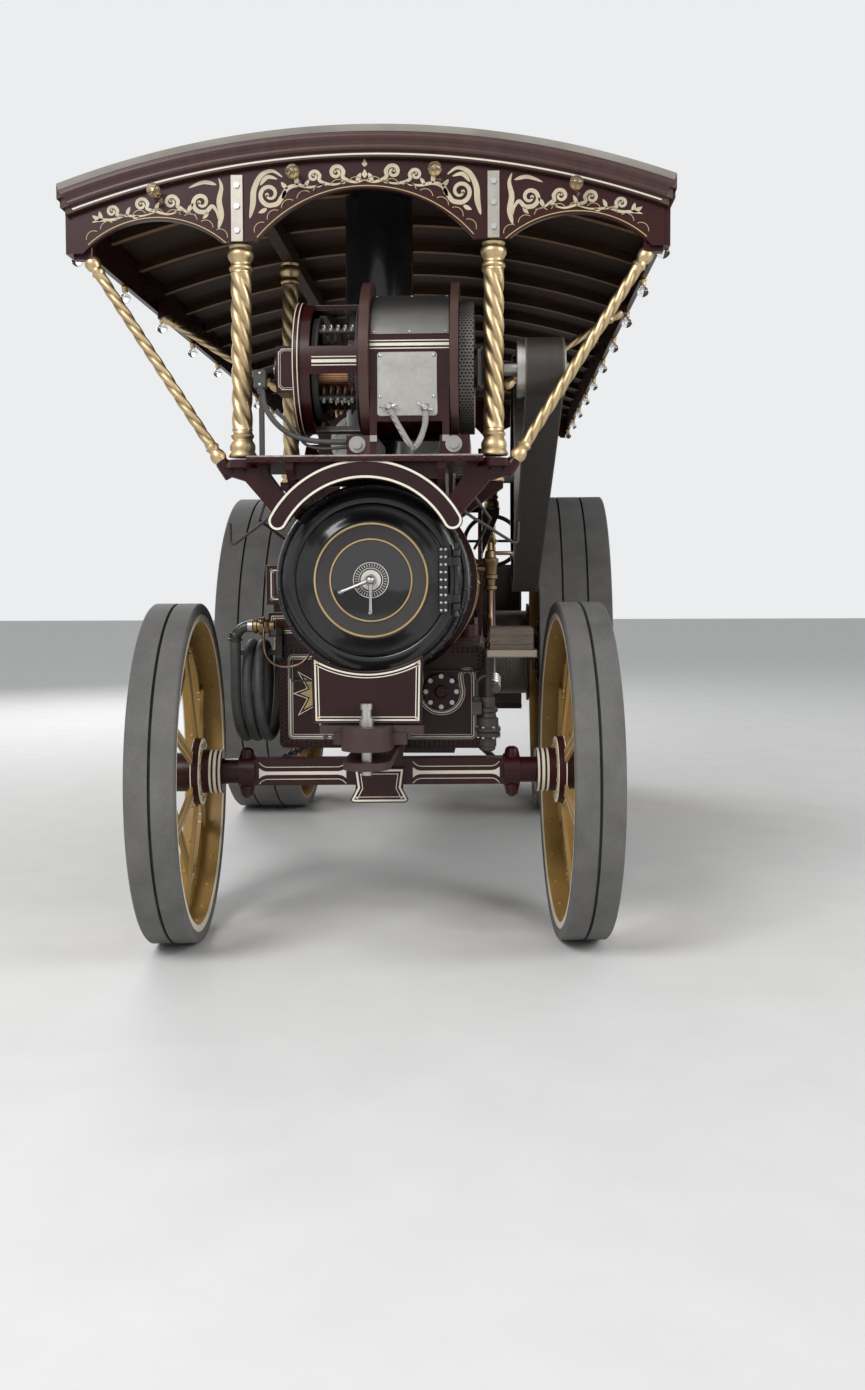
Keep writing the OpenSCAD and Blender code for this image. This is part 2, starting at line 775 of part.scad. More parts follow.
// The chains' lugs: their place on the beam and their distance below its centre
lug_x = 560;
lug_z = -39;
module front_axle() {
    color("maroon") steered() translate([0, 0, front_r]) difference() {
        union() {
            block([-beam_half, -beam_d / 2, -beam_h / 2], [beam_half, beam_d / 2, beam_h / 2]);
            // Fork block round the pivot, with the flared shield in front
            block([-100, -80, -70], [100, 80, 106]);
            plate_xz(-104, 24) polygon([[-105, 22], [105, 22], [94, -58], [122, -112], [108, -122],
                [-108, -122], [-122, -112], [-94, -58]]);
            both_sides() {
                drum_x(beam_half - 6, 592, 68);
                drum_x(592, front_in - 85 - 0.5, 54);
                drum_x(600, front_out - 12, journal_r);
                drum_x(front_out - 12, front_out + 8, journal_r - 14);
                // Lug for the steering chain
                translate([560, 62, lug_z]) difference() {
                    union() {
                        block([-22, -40, 0], [22, 24, 28]);
                        translate([0, 24, 0]) cylinder(h = 28, r = 22);
                    }
                    translate([0, 26, -1]) cylinder(h = 30, r = 10);
                }
            }
        }
        cylinder(h = 400, r = perch_pin_r + run_gap, center = true);
        // Room for the pin's head and the thrust face of the bracket
        translate([0, 0, -120]) cylinder(h = 36 + seat, r = perch_pin_r + 19);
        translate([0, 0, 812 - front_r - seat]) cylinder(h = 60, r = 140);
    }
}

// A wheel on the +X side: rim, ring inside it, flat spokes and hub. u runs outwards from x_in.
module spoke(x0, r0, x1, r1, width, thick) {
    d = [x1 - x0, r1 - r0];
    translate([x0, 0, r0]) rotate([0, atan2(d[0], d[1]), 0])
        translate([-thick / 2, -width / 2, 0]) cube([thick, width, norm(d)]);
}

module front_wheel() {
    rim_out = front_r - rubber_t - seat;
    rim_in = 637;
    mid = front_in + front_w / 2;
    bore = journal_r + run_gap;
    color("goldenrod") difference() {
        union() {
            drum_x(front_in + 3, front_out - 3, rim_out, rim_in);
            drum_x(mid - 7, mid + 7, rim_in + 1, 562);
            // Hub: banded drum, inner flange, barrel and outer flange
            drum_x(front_in - 85, front_in, 92);
            drum_x(front_in, front_in + 38, 140);
            drum_x(front_in + 30, front_out, 84);
            drum_x(front_out - 45, front_out - 20, 140);
            for (i = [0:front_spokes - 1]) rotate([i * 360 / front_spokes, 0, 0])
                if (i % 2 == 0) spoke(front_in + 26, 96, mid - 12, 618, 56, 13);
                else spoke(front_out - 32, 96, mid + 12, 618, 56, 13);
            // Brass cap over the end of the axle
            drum_x(front_out, front_out + 34, 66);
        }
        drum_x(front_in - 90, front_out - 12 + 0.5, bore);
        drum_x(front_out - 14, front_out + 12, bore);
    }
}

module tyre_strips(x_in, width, r, strips) {
    step = (width + groove_w) / strips;
    depth = rubber_t * 0.6;
    difference() {
        turned_x([[r - rubber_t, x_in], [r - 6, x_in], [r, x_in + 6], [r, x_in + width - 6],
            [r - 6, x_in + width], [r - rubber_t, x_in + width]]);
        for (i = [1:strips - 1]) drum_x(x_in + i * step - groove_w, x_in + i * step, r + 10, r - depth);
    }
}

module on_front_axle(side) {
    steered() translate([0, 0, front_r]) mirror([side < 0 ? 1 : 0, 0, 0]) children();
}

module front_wheel_nearside() { on_front_axle(1) front_wheel(); }
module front_wheel_offside() { on_front_axle(-1) front_wheel(); }
module front_tyre_nearside() { color("gray") on_front_axle(1) tyre_strips(front_in, front_w, front_r, 2); }
module front_tyre_offside() { color("gray") on_front_axle(-1) tyre_strips(front_in, front_w, front_r, 2); }

// Rear axle and its wheels

module rear_axle() {
    color("silver") translate([0, rear_axle_y, rear_r]) {
        drum_x(-rear_out + 22, rear_out - 22, rear_axle_r - seat);
        for (x = [-rear_out + 14, rear_out - 22]) drum_x(x, x + 8, rear_axle_r - 20);
    }
}

module rear_wheel() {
    rim_out = rear_r - rubber_t - seat;
    bore = rear_axle_r - seat + run_gap;
    rings = [rear_in + 96, rear_out - 96];
    color("goldenrod") difference() {
        union() {
            drum_x(rear_in + 3, rear_out - 3, rim_out, rim_out - 26);
            for (x = rings) drum_x(x - 8, x + 8, rim_out - 25, rim_out - 108);
            drum_x(rear_in - 8, rear_out - 24, 128);
            for (x = [rear_in + 20, rear_out - 60]) drum_x(x, x + 34, 210);
            for (i = [0:rear_spokes - 1]) rotate([i * 360 / rear_spokes, 0, 0])
                if (i % 2 == 0) spoke(rear_in + 44, 150, rings[0] + 10, rim_out - 60, 92, 15);
                else spoke(rear_out - 52, 150, rings[1] - 10, rim_out - 60, 92, 15);
            // Brass cap
            drum_x(rear_out - 24, rear_out - 2, 100);
        }
        drum_x(rear_in - 20, rear_out - 12, bore);
    }
}

module on_rear_axle(side) {
    translate([0, rear_axle_y, rear_r]) mirror([side < 0 ? 1 : 0, 0, 0]) children();
}

module rear_wheel_nearside() { on_rear_axle(1) rear_wheel(); }
module rear_wheel_offside() { on_rear_axle(-1) rear_wheel(); }
module rear_tyre_nearside() { color("gray") on_rear_axle(1) tyre_strips(rear_in, rear_w, rear_r, 3); }
module rear_tyre_offside() { color("gray") on_rear_axle(-1) tyre_strips(rear_in, rear_w, rear_r, 3); }

module winch_drum() {
    color("saddlebrown") translate([0, rear_axle_y, rear_r]) difference() {
        union() {
            for (x = [475, 722]) drum_x(x, x + 14, 330);
            drum_x(480, 730, 215);
            // Layers of wire rope
            for (i = [0:9]) translate([0, 0, 0]) drum_x(490 + i * 23, 510 + i * 23, 282);
            drum_x(489, 721, 276);
        }
        drum_x(400, 800, rear_axle_r - seat);
    }
}

module drive_gears() {
    teeth = 60;
    color("dimgray") translate([0, rear_axle_y, rear_r]) difference() {
        union() {
            drum_x(-560, -470, 430, 385);
            drum_x(-530, -500, 390);
            drum_x(-570, -460, 120);
            for (i = [0:teeth - 1]) rotate([i * 360 / teeth, 0, 0]) block([-560, -11, 425], [-470, 11, 452]);
        }
        for (i = [0:5]) rotate([i * 60, 0, 0]) translate([0, 0, 250]) drum_x(-600, -440, 78);
        drum_x(-600, -400, rear_axle_r - seat);
    }
}

// Tender and footplate

module tender() {
    top = 1660;
    back = tender_tail;
    bunker = floor_z + 90;
    color("maroon") translate([0, rear_axle_y, 0]) difference() {
        union() {
            block([-tender_half, tender_front, 620], [tender_half, back, top]);
            // Pads for the rear pillars
            both_sides() block([pillar_x - 60, back - 100, top - 70], [pillar_x + 60, back + 20, top]);
            // Flared rim round the bunker
            block([-tender_half - 20, tender_front + 260, top - 30], [tender_half + 20, back + 20, top]);
        }
        difference() {
            block([-tender_half + sheet_t, tender_front + 240, bunker], [tender_half - sheet_t, back - sheet_t, top + 1]);
            both_sides() block([pillar_x - 60, back - 100, top - 70], [pillar_x + 60, back + 20, top + 2]);
        }
        // The front of the tender stays open to the footplate
        block([-tender_half + sheet_t, tender_front - 1, floor_z], [tender_half - sheet_t, tender_front + 228, top + 1]);
        // Sheet steps down over the entry
        both_sides() block([tender_half - sheet_t - 1, tender_front - 1, 1480], [tender_half + 40, tender_front + 120, top + 1]);
        // Coal door
        block([-190, tender_front + 200, bunker], [190, tender_front + 260, bunker + 320]);
    }
}

module footplate() {
    front = firebox_back - wheelbase + 10;
    color("maroon") translate([0, rear_axle_y, 0]) {
        block([-horn_in + 1, front, floor_z], [horn_in - 1, tender_front - seat, floor_z + sheet_t]);
        // Ledge behind the winch drum on the nearside
        block([horn_out + seat, 345, 1300], [tender_half, tender_front - seat, 1312]);
    }
}

module backhead_fittings() {
    y = firebox_back;
    color("goldenrod") {
        // Firehole door and its ring
        translate([0, front_axle_y, 1340]) drum_y(y, y + 26, 130);
        translate([0, front_axle_y, 1340]) drum_y(y + 26, y + 44, 108);
        // Pressure gauge on its stand, two water gauges and the regulator
        translate([0, front_axle_y, 2060]) drum_y(y - 20 + seat, y + 26, 74);
        for (x = [-170, 170]) {
            bar([x, at(y + 40), 1560], [x, at(y + 40), 1800], 14);
            for (z = [1570, 1790]) bar([x, at(y), z], [x, at(y + 52), z], 12);
        }
        bar([0, at(y), 1740], [0, at(y + 90), 1740], 14);
        bar([0, at(y + 84), 1740], [150, at(y + 84), 1850], 10);
    }
}

module drawbar() {
    y = tender_tail;
    color("black") translate([0, rear_axle_y, 0]) difference() {
        union() {
            block([-160, y, 700], [160, y + 24, 900]);
            for (z = [745, 825]) {
                block([-70, y + 24, z], [70, y + 110, z + 30]);
                translate([0, y + 110, z]) cylinder(h = 30, r = 70);
            }
        }
        translate([0, y + 110, 600]) cylinder(h = 400, r = 25);
    }
}

steer_low = [486, 1560, 932];
steer_high = [486, 3300, 1800];
steer_tilt = atan2(steer_high[2] - steer_low[2], steer_high[1] - steer_low[1]);
barrel_at = [0, at(1610), 800];
barrel_drum_r = 62;
module steering_gear() {
    color("silver") {
        // Chain barrel under the boiler, carried by two hangers inside the hornplates
        translate(barrel_at) {
            drum_x(-420, 470, 30);
            drum_x(-340, 340, barrel_drum_r);
            for (x = [-352, 340]) drum_x(x, x + 12, 90);
            drum_x(450, 492, 108);
        }
        both_sides() plate_yz(firebox_half + seat, horn_in - firebox_half - 2 * seat) translate([front_axle_y, 0])
            polygon([[1570, 760], [1650, 760], [1900, 1190], [1900, 1320], [1720, 1320], [1560, 860]]);
        // Inclined shaft with its worm, outside the nearside hornplate
        bar([steer_low[0], at(steer_low[1]), steer_low[2]], [steer_high[0], at(steer_high[1]), steer_high[2]], 17);
        translate([steer_low[0], at(steer_low[1]), steer_low[2]]) rotate([steer_tilt - 90, 0, 0])
            translate([0, 0, 20]) cylinder(h = 120, r = 33);
        for (y = [1760, 2860]) let (z = steer_low[2] + (y - steer_low[1]) * tan(steer_tilt))
            bar([horn_out + seat, at(y), z], [steer_low[0], at(y), z], 22);
    }
    color("black") translate([steer_high[0], at(steer_high[1]), steer_high[2]]) rotate([steer_tilt - 90, 0, 0]) {
        rotate_extrude() translate([180, 0]) circle(r = 14, $fn = 32);
        cylinder(h = 40, r = 30, center = true);
        for (a = [0:90:270]) rotate([0, 0, a]) bar([20, 0, 0], [176, 0, 0], 9);
    }
}

// Chains from the barrel to the lugs on the front axle, drawn tight as two slim bars of links
module steering_chains() {
    color("dimgray") for (s = [-1, 1]) {
        lug = [s * lug_x, 112];
        tip = [lug[0] * cos(rest_steer) - lug[1] * sin(rest_steer), lug[0] * sin(rest_steer) + lug[1] * cos(rest_steer)];
        a = [tip[0], at(tip[1]), front_r + lug_z + 14];
        b = [s * 300, barrel_at[1], barrel_at[2] - barrel_drum_r - 11 - seat];
        bar(a, b, 11);
    }
}

// Suction hose on the offside: coupling and swan neck, free hose, coil and end fitting

module hose_pipe() {
    y = at(coil_front);
    color("goldenrod") {
        // Coupling on the tank's corner bracket
        translate([0, y, lead_top + 62]) drum_x(-528, -440, 30);
        translate([0, y, lead_top + 62]) drum_x(-500, -478, 38);
        translate([0, y, lead_top + 62]) drum_x(coil_x + 62, -520, 22);
        // Quarter bend down to the hose
        translate([coil_x + 62, y, lead_top]) rotate([90, 0, 0]) rotate([0, 0, 90]) rotate_extrude(angle = 90, $fn = 96)
            translate([62, 0]) circle(r = 22, $fn = 48);
        translate([coil_x, y, lead_top]) cylinder(h = 6, r = 30);
    }
    color("black") {
        block([-455, y - 18, lead_top + 20], [-425, at(124 - seat), lead_top + 50]);
        block([-455, at(90), 1180], [-425, at(124 - seat), lead_top + 50]);
        // Two hooks on the tank that carry the coil, and a clip for its end
        block([-636, at(coil_front + coil_r - 16), coil_high + coil_r - 24 - 24], [-tank_half - seat, at(coil_front + coil_r + 16), coil_high + coil_r - 24 - 1.2]);
        block([-508, at(coil_front + coil_run + 24 + seat), 1176], [-tank_half - seat, at(coil_front + coil_run + 48), 1200]);
    }
}

// Route of the free hose from the swan neck down to the coil
lead_route = [[coil_x, coil_front, lead_top - seat], [coil_x, coil_front, lead_low + seat]];

module sweep_tube(points, r, sides) {
    n = len(points);
    rings = [for (p = points, i = [0:sides - 1]) [p[0] + r * cos(i * 360 / sides), at(p[1]) + r * sin(i * 360 / sides), p[2]]];
    faces = concat(
        [[for (i = [0:sides - 1]) i]],
        [[for (i = [sides - 1:-1:0]) (n - 1) * sides + i]],
        [for (k = [0:n - 2], i = [0:sides - 1])
            [k * sides + i, (k + 1) * sides + i, (k + 1) * sides + (i + 1) % sides, k * sides + (i + 1) % sides]]);
    polyhedron(rings, faces);
}

module hose_lead() { color("dimgray") sweep_tube(lead_route, hose_d / 2, 12); }

module racetrack(r) {
    for (z = [coil_low, coil_high]) translate([coil_front + coil_r, z]) circle(r);
    translate([coil_front + coil_r - r, coil_low]) square([2 * r, coil_high - coil_low]);
}

module hose_coil() {
    out = coil_x - hose_d / 2;
    color("dimgray") {
        translate([0, front_axle_y, 0]) plate_yz(out, coil_lane * coil_turns + hose_d) difference() {
            racetrack(coil_r + hose_d / 2);
            racetrack(coil_r - hose_d / 2);
        }
        // Its two ends run straight up
        translate([coil_x, at(coil_front), coil_high]) cylinder(h = lead_low - coil_high, r = hose_d / 2);
        translate([coil_x + coil_lane * coil_turns, at(coil_front + coil_run), coil_high])
            cylinder(h = lead_low - coil_high, r = hose_d / 2);
    }
}

module hose_strainer() {
    x = coil_x + coil_lane * coil_turns;
    color("goldenrod") translate([x, at(coil_front + coil_run), lead_low + seat]) {
        cylinder(h = 34, r = 24);
        translate([0, 0, 34]) cylinder(h = 96, r = 22);
        translate([0, 0, 130]) cylinder(h = 14, r1 = 22, r2 = 12);
    }
}

// Canopy

module roof_section(outer, inner, half) {
    translate([0, roof_axis_z]) intersection() {
        difference() {
            circle(outer, $fn = 256);
            circle(inner, $fn = 256);
        }
        translate([-half, 0]) square([2 * half, outer + 10]);
    }
}

module canopy_roof() {
    nose = canopy_front_y;
    tail = canopy_back_y;
    color("gainsboro") difference() {
        union() {
            plate_xz(nose + 40, tail - nose - 80) roof_section(roof_r, roof_r - roof_t, roof_half);
            // Cornice at both ends, in three steps
            for (e = [[nose, 1], [tail, -1]]) {
                plate_xz(e[0] + min(0, e[1]) * 40, 40) roof_section(roof_r, roof_r - 52, roof_half);
                plate_xz(e[0] + (e[1] > 0 ? 10 : -46), 36) roof_section(roof_r - 40, roof_r - 88, roof_half - 14);
                plate_xz(e[0] + (e[1] > 0 ? 20 : -52), 32) roof_section(roof_r - 70, roof_r - 112, roof_half - 26);
            }
            // Rolled edge along each side
            both_sides() block([roof_half - 26, nose + 40, eaves_z - 34], [roof_half, tail - 40, eaves_z + 16]);
        }
        translate([0, at(chimney_y), 2800]) cylinder(h = 900, r = chimney_r + 3);
    }
}

rib_w = 36;
rib_count = 14;
module canopy_ribs() {
    first = canopy_front_y + 130;
    step = (canopy_back_y - canopy_front_y - 260) / (rib_count - 1);
    under = roof_r - roof_t - seat;
    color("wheat") difference() {
        union() {
            for (i = [0:rib_count - 1])
                plate_xz(first + i * step - rib_w / 2, rib_w) roof_section(under, under - 40, valance_x);
            // Bearers along the canopy, over the pillars
            both_sides() block([pillar_x - 28, canopy_front_y + 68 + seat, roof_under(pillar_x) - 92],
                [pillar_x + 28, canopy_back_y - 68 - seat, roof_under(pillar_x) - 22]);
        }
        translate([0, at(chimney_y), 2800]) cylinder(h = 900, r = chimney_r + 30);
    }
}

// Arched boards across the front and the back
module fascia_outline() {
    top_r = roof_r - 112 - seat;
    centre_half = 410;
    centre_rise = 192;
    side_half = 262;
    side_rise = 100;
    centre_r = (centre_half * centre_half + centre_rise * centre_rise) / (2 * centre_rise);
    side_r = (side_half * side_half + side_rise * side_rise) / (2 * side_rise);
    side_x = 792;
    difference() {
        intersection() {
            translate([0, roof_axis_z]) circle(top_r, $fn = 256);
            translate([-valance_x, 2756]) square([2 * valance_x, 600]);
        }
        translate([0, fascia_low + centre_rise - centre_r]) circle(centre_r, $fn = 128);
        for (s = [-1, 1]) {
            translate([s * side_x, fascia_low - 14 + side_rise - side_r]) circle(side_r, $fn = 128);
            // Stepped foot at the pillar
            translate([s * pillar_x, 2700]) square([2 * (pillar_x - centre_half) + 20, 2 * (fascia_low - 2700)], center = true);
        }
        translate([-centre_half, 2700]) square([2 * centre_half, fascia_low - 2700]);
        for (s = [-1, 1]) translate([s * side_x - side_half, 2700]) square([2 * side_half, fascia_low - 14 - 2700]);
    }
}

module canopy_fascias() {
    color("maroon") for (y = [canopy_front_y + 44, canopy_back_y - 44 - 24])
        plate_xz(y, 24) fascia_outline();
    // Straps over the pillars
    color("goldenrod") for (y = [canopy_front_y + 36, canopy_back_y - 44], s = [-1, 1])
        block([s * pillar_x - 22, y, fascia_low], [s * pillar_x + 22, y + 8, roof_under(pillar_x) - 90]);
}

module canopy_valances() {
    nose = canopy_front_y + 52 + seat;
    tail = canopy_back_y - 52 - seat;
    color("maroon") both_sides() {
        plate_yz(valance_x + seat, valance_t) union() {
            translate([nose, valance_low]) square([tail - nose, eaves_z - 36 - valance_low]);
            // Deeper corners
            for (y = [nose, tail - 70]) translate([y, 2756]) square([70, 80]);
        }
        block([valance_x + seat, nose + 20, 2900], [valance_x + 12, tail - 20, roof_under(valance_x + 12) - seat]);
    }
}

// A bar of strands twisted together
module twisted_bar(length, r, pitch, lobes = 4, per_lobe = 2, per_turn = 10) {
    n = lobes * per_lobe;
    turns = length / pitch;
    linear_extrude(height = length, twist = 360 * turns, slices = ceil(turns * per_turn), $fn = n)
        polygon([for (i = [0:n - 1]) (i % per_lobe == 0 ? 0.78 : 1) * r * [cos(i * 360 / n), sin(i * 360 / n)]]);
}

// A pillar: turned foot, twisted shaft, ring and capital
module pillar(z0, z1, per_lobe = 2, per_turn = 10) {
    translate([0, 0, z0]) rotate_extrude() polygon([[0, 0], [54, 0], [54, 10], [48, 24], [42, 62], [45, 74], [45, 84],
        [39, 92], [33, 104], [0, 104]]);
    translate([0, 0, z0 + 104 + seat])
        twisted_bar(z1 - z0 - 204 - 2 * seat, pillar_r, twist_pitch, 4, per_lobe, per_turn);
    translate([0, 0, z1 - 100]) rotate_extrude() polygon([[0, 0], [38, 0], [45, 12], [40, 24], [36, 34], [51, 56], [51, 68],
        [34, 100], [0, 100]]);
}

module front_pillars() {
    color("goldenrod") both_sides() translate([pillar_x, at(-470), 0]) {
        pillar(platform_z + 8 + seat, fascia_low - seat, 3, 12);
        // Plain post behind the fascia, up to the bearer
        translate([0, 0, fascia_low - 1]) cylinder(h = roof_under(pillar_x) - 92 - seat - fascia_low + 1, r = 24);
    }
}

mid_pillar_y = 800;
cab_pillar_y = 3000;
module rear_pillars() {
    top = roof_under(pillar_x) - 92 - seat;
    color("goldenrod") both_sides() {
        translate([pillar_x, at(mid_pillar_y), 0]) pillar(1990, top);
        translate([pillar_x, at(cab_pillar_y), 0]) pillar(1990, top);
        translate([pillar_x, rear_axle_y + tender_tail - 40, 0]) pillar(1660 + seat, top);
    }
    // Brackets that carry the middle pillars on the boiler and on the hornplates
    color("maroon") both_sides() {
        plate_xz(at(mid_pillar_y - 36), 72) difference() {
            polygon([[300, 1790], [pillar_x + 50, 1962], [pillar_x + 50, 1990 - seat], [pillar_x - 60, 1990 - seat], [330, 1830]]);
            translate([0, boiler_z]) circle(barrel_r + 4 + seat);
        }
        plate_xz(at(cab_pillar_y - 36), 72)
            polygon([[horn_out + seat, 1700], [pillar_x + 50, 1962], [pillar_x + 50, 1990 - seat], [horn_out + seat, 1990 - seat]]);
    }
}

// Slanting twisted stays from the feet of the front pillars and from the middle pillars
module stay(a, b, r) {
    d = b - a;
    length = norm(d);
    end = 70;
    translate(a) rotate([0, acos(d[2] / length), atan2(d[1], d[0])]) {
        cylinder(h = end, r1 = r * 1.3, r2 = r);
        translate([0, 0, end - 6]) cylinder(h = 16, r = r * 1.35);
        translate([0, 0, end]) twisted_bar(length - 2 * end, r, 220, 3, 2, 9);
        translate([0, 0, length - end - 10]) cylinder(h = 16, r = r * 1.35);
        translate([0, 0, length - end]) cylinder(h = end, r1 = r, r2 = r * 1.3);
    }
}

stay_foot = [563, at(-479), 1966];
stay_head = [1070, at(-479), 2752];
stay_dir = (stay_head - stay_foot) / norm(stay_head - stay_foot);
module canopy_stays() {
    color("goldenrod") both_sides() {
        stay(stay_foot + seat * stay_dir, stay_head, 22);
        stay([pillar_x + pillar_r + 13, at(mid_pillar_y), 2440], [valance_x - 24, at(mid_pillar_y), 2790], 18);
    }
    color("maroon") both_sides() {
        block([1048, at(-510 + seat), 2740], [valance_x - seat, at(-468), 2800]);
        block([valance_x - 40, at(mid_pillar_y - 20), 2780], [valance_x - seat, at(mid_pillar_y + 20), 2870]);
    }
}

lamp_count = 10;
module lamp() {
    cylinder(h = 24, r = 15);
    translate([0, 0, -26]) sphere(r = 27, $fn = 48);
    translate([0, 0, -14]) cylinder(h = 16, r = 18);
}

module canopy_lamps() {
    color("ivory") {
        both_sides() for (i = [0:lamp_count - 1])
            translate([valance_x + 11, canopy_front_y + 165 + i * (canopy_back_y - canopy_front_y - 330) / (lamp_count - 1),
                valance_low - 24 - seat]) lamp();
        for (p = [[-790, 2974], [-266, 3034], [266, 3034], [790, 2974]])
            translate([p[0], canopy_front_y + 44 - seat, p[1]]) rotate([90, 0, 0]) mirror([0, 0, 1]) translate([0, 0, -24]) lamp();
    }
}

smokebox();
chimney();
boiler();
firebox();
hornplates();
cylinder_block();
cylinder_fittings();
motion();
motion_covers();
gear_cover();
belly_tank();
perch_bracket();
towing_jaw();
number_plate();
arched_plate();
dynamo_bracket();
dynamo_field();
dynamo_end_frames();
canopy_roof();
canopy_ribs();
canopy_fascias();
canopy_valances();
front_pillars();
rear_pillars();
canopy_stays();
canopy_lamps();
rear_axle();
winch_drum();
drive_gears();
tender();
footplate();
backhead_fittings();
drawbar();
steering_gear();
steering_chains();
hose_pipe();
hose_lead();
hose_coil();
hose_strainer();
side_lockers();
footboard();
drive_belt();
front_axle();
front_wheel_nearside();
front_tyre_nearside();
front_wheel_offside();
front_tyre_offside();
rear_wheel_nearside();
rear_tyre_nearside();
rear_wheel_offside();
rear_tyre_offside();
crankshaft();
flywheel();
dynamo_rotor();
smokebox_door();
door_fittings();
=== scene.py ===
from math import asin, cos, exp, hypot, pi, radians, sin, sqrt

import bpy
import numpy as np
from mathutils import Matrix, Vector


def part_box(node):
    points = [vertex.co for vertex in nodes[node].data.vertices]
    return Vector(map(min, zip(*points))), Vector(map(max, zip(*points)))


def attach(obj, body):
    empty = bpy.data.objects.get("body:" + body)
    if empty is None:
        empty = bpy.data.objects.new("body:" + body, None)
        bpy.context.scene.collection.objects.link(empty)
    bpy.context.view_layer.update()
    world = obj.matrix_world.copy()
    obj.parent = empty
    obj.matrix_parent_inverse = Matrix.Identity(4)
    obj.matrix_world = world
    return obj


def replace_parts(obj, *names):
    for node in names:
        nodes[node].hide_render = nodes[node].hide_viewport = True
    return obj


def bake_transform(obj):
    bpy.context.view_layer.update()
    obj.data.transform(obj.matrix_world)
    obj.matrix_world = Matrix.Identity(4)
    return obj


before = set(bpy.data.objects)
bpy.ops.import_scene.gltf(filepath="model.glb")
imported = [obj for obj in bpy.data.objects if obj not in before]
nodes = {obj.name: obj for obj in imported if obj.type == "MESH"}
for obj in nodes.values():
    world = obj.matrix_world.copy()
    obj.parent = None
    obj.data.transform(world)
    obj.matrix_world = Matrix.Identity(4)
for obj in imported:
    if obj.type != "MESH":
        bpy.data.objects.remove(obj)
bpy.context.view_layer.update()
scene = bpy.context.scene
scene.view_settings.view_transform = "Standard"

# The view: a photographer stands about five and a half metres ahead of the front axle, a little to the
# engine's nearside, with the camera at chest height and tipped slightly down.
tyre_low, tyre_high = (Vector(corner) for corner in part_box("front_tyre_nearside"))
other_low, other_high = (Vector(corner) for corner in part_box("front_tyre_offside"))
front_y = (tyre_low.y + tyre_high.y + other_low.y + other_high.y) / 4
rear_low, rear_high = (Vector(corner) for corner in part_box("rear_tyre_nearside"))
rear_y = (rear_low.y + rear_high.y) / 2


def at(y):
    """A place along the engine, counted back from the front axle."""
    return front_y + y


photo_height, focal_pixels = 1390, 1319.98
centre_row = 650
camera_yaw, camera_pitch, camera_roll = radians(2.413), radians(2.559), radians(-0.2293)
ahead = Vector((-sin(camera_yaw) * cos(camera_pitch), cos(camera_yaw) * cos(camera_pitch),
    -sin(camera_pitch)))
level = Vector((cos(camera_yaw), sin(camera_yaw), 0))
over = level.cross(ahead)
across = cos(camera_roll) * level + sin(camera_roll) * over
upward = cos(camera_roll) * over - sin(camera_roll) * level
camera = bpy.data.objects.new("view_camera", bpy.data.cameras.new("view_camera"))
camera.data.sensor_width = 36
camera.data.lens = 36 * focal_pixels / photo_height
camera.data.shift_y = (centre_row - photo_height / 2) / photo_height
camera.data.clip_end = 200
turn = Matrix((across, upward, -ahead)).transposed().to_4x4()
camera.matrix_world = Matrix.Translation((0.46, at(-5.5567), 1.4684)) @ turn
scene.collection.objects.link(camera)
scene.camera = camera


class Wire:
    """A socket in a node tree. Its arithmetic adds Math nodes; the result is another Wire."""

    def __init__(self, tree, socket):
        self.tree, self.socket = tree, socket

    def math(self, operation, other=None, flipped=False, clamp=False):
        node = self.tree.nodes.new("ShaderNodeMath")
        node.operation, node.use_clamp = operation, clamp
        own, theirs = node.inputs[int(flipped)], node.inputs[1 - int(flipped)]
        self.tree.links.new(self.socket, own)
        if isinstance(other, Wire):
            self.tree.links.new(other.socket, theirs)
        elif other is not None:
            theirs.default_value = other
        return Wire(self.tree, node.outputs[0])

    def __add__(self, other):
        return self.math("ADD", other)

    __radd__ = __add__

    def __sub__(self, other):
        return self.math("SUBTRACT", other)

    def __rsub__(self, other):
        return self.math("SUBTRACT", other, flipped=True)

    def __mul__(self, other):
        return self.math("MULTIPLY", other)

    def __pow__(self, other):
        return self.math("POWER", other)

    def __mod__(self, other):
        return self.math("FLOORED_MODULO", other)

    def above(self, level):
        return self.math("GREATER_THAN", level)

    def below(self, level):
        return self.math("LESS_THAN", level)

    def lower(self, other):
        return self.math("MINIMUM", other)

    def size(self):
        return self.math("ABSOLUTE")

    def held(self):
        return self.math("ADD", 0.0, clamp=True)

    def reach(self, other):
        """The distance from a line, by the offsets along two axes."""
        return (self * self + other * other) ** 0.5

    def within(self, low, high):
        """One between low and high, and nothing outside them."""
        return self.above(low) * self.below(high)

    def rise(self, low, high):
        """A straight climb from 0 at low to 1 at high, held at both ends."""
        return ((self - low) * (1 / (high - low))).held()


class Tree:
    """A node tree under way: add() puts in any node and gives back one of its outputs."""

    def add(self, kind, settings=None, sockets=None, out=0):
        node = self.tree.nodes.new(kind)
        for name, value in (settings or {}).items():
            setattr(node, name, value)
        for name, value in (sockets or {}).items():
            self.join(value, node.inputs[name])
        return Wire(self.tree, node.outputs[out])

    def join(self, value, socket):
        if isinstance(value, Wire):
            self.tree.links.new(value.socket, socket)
        else:
            socket.default_value = (*value, 1) if socket.type == "RGBA" else value


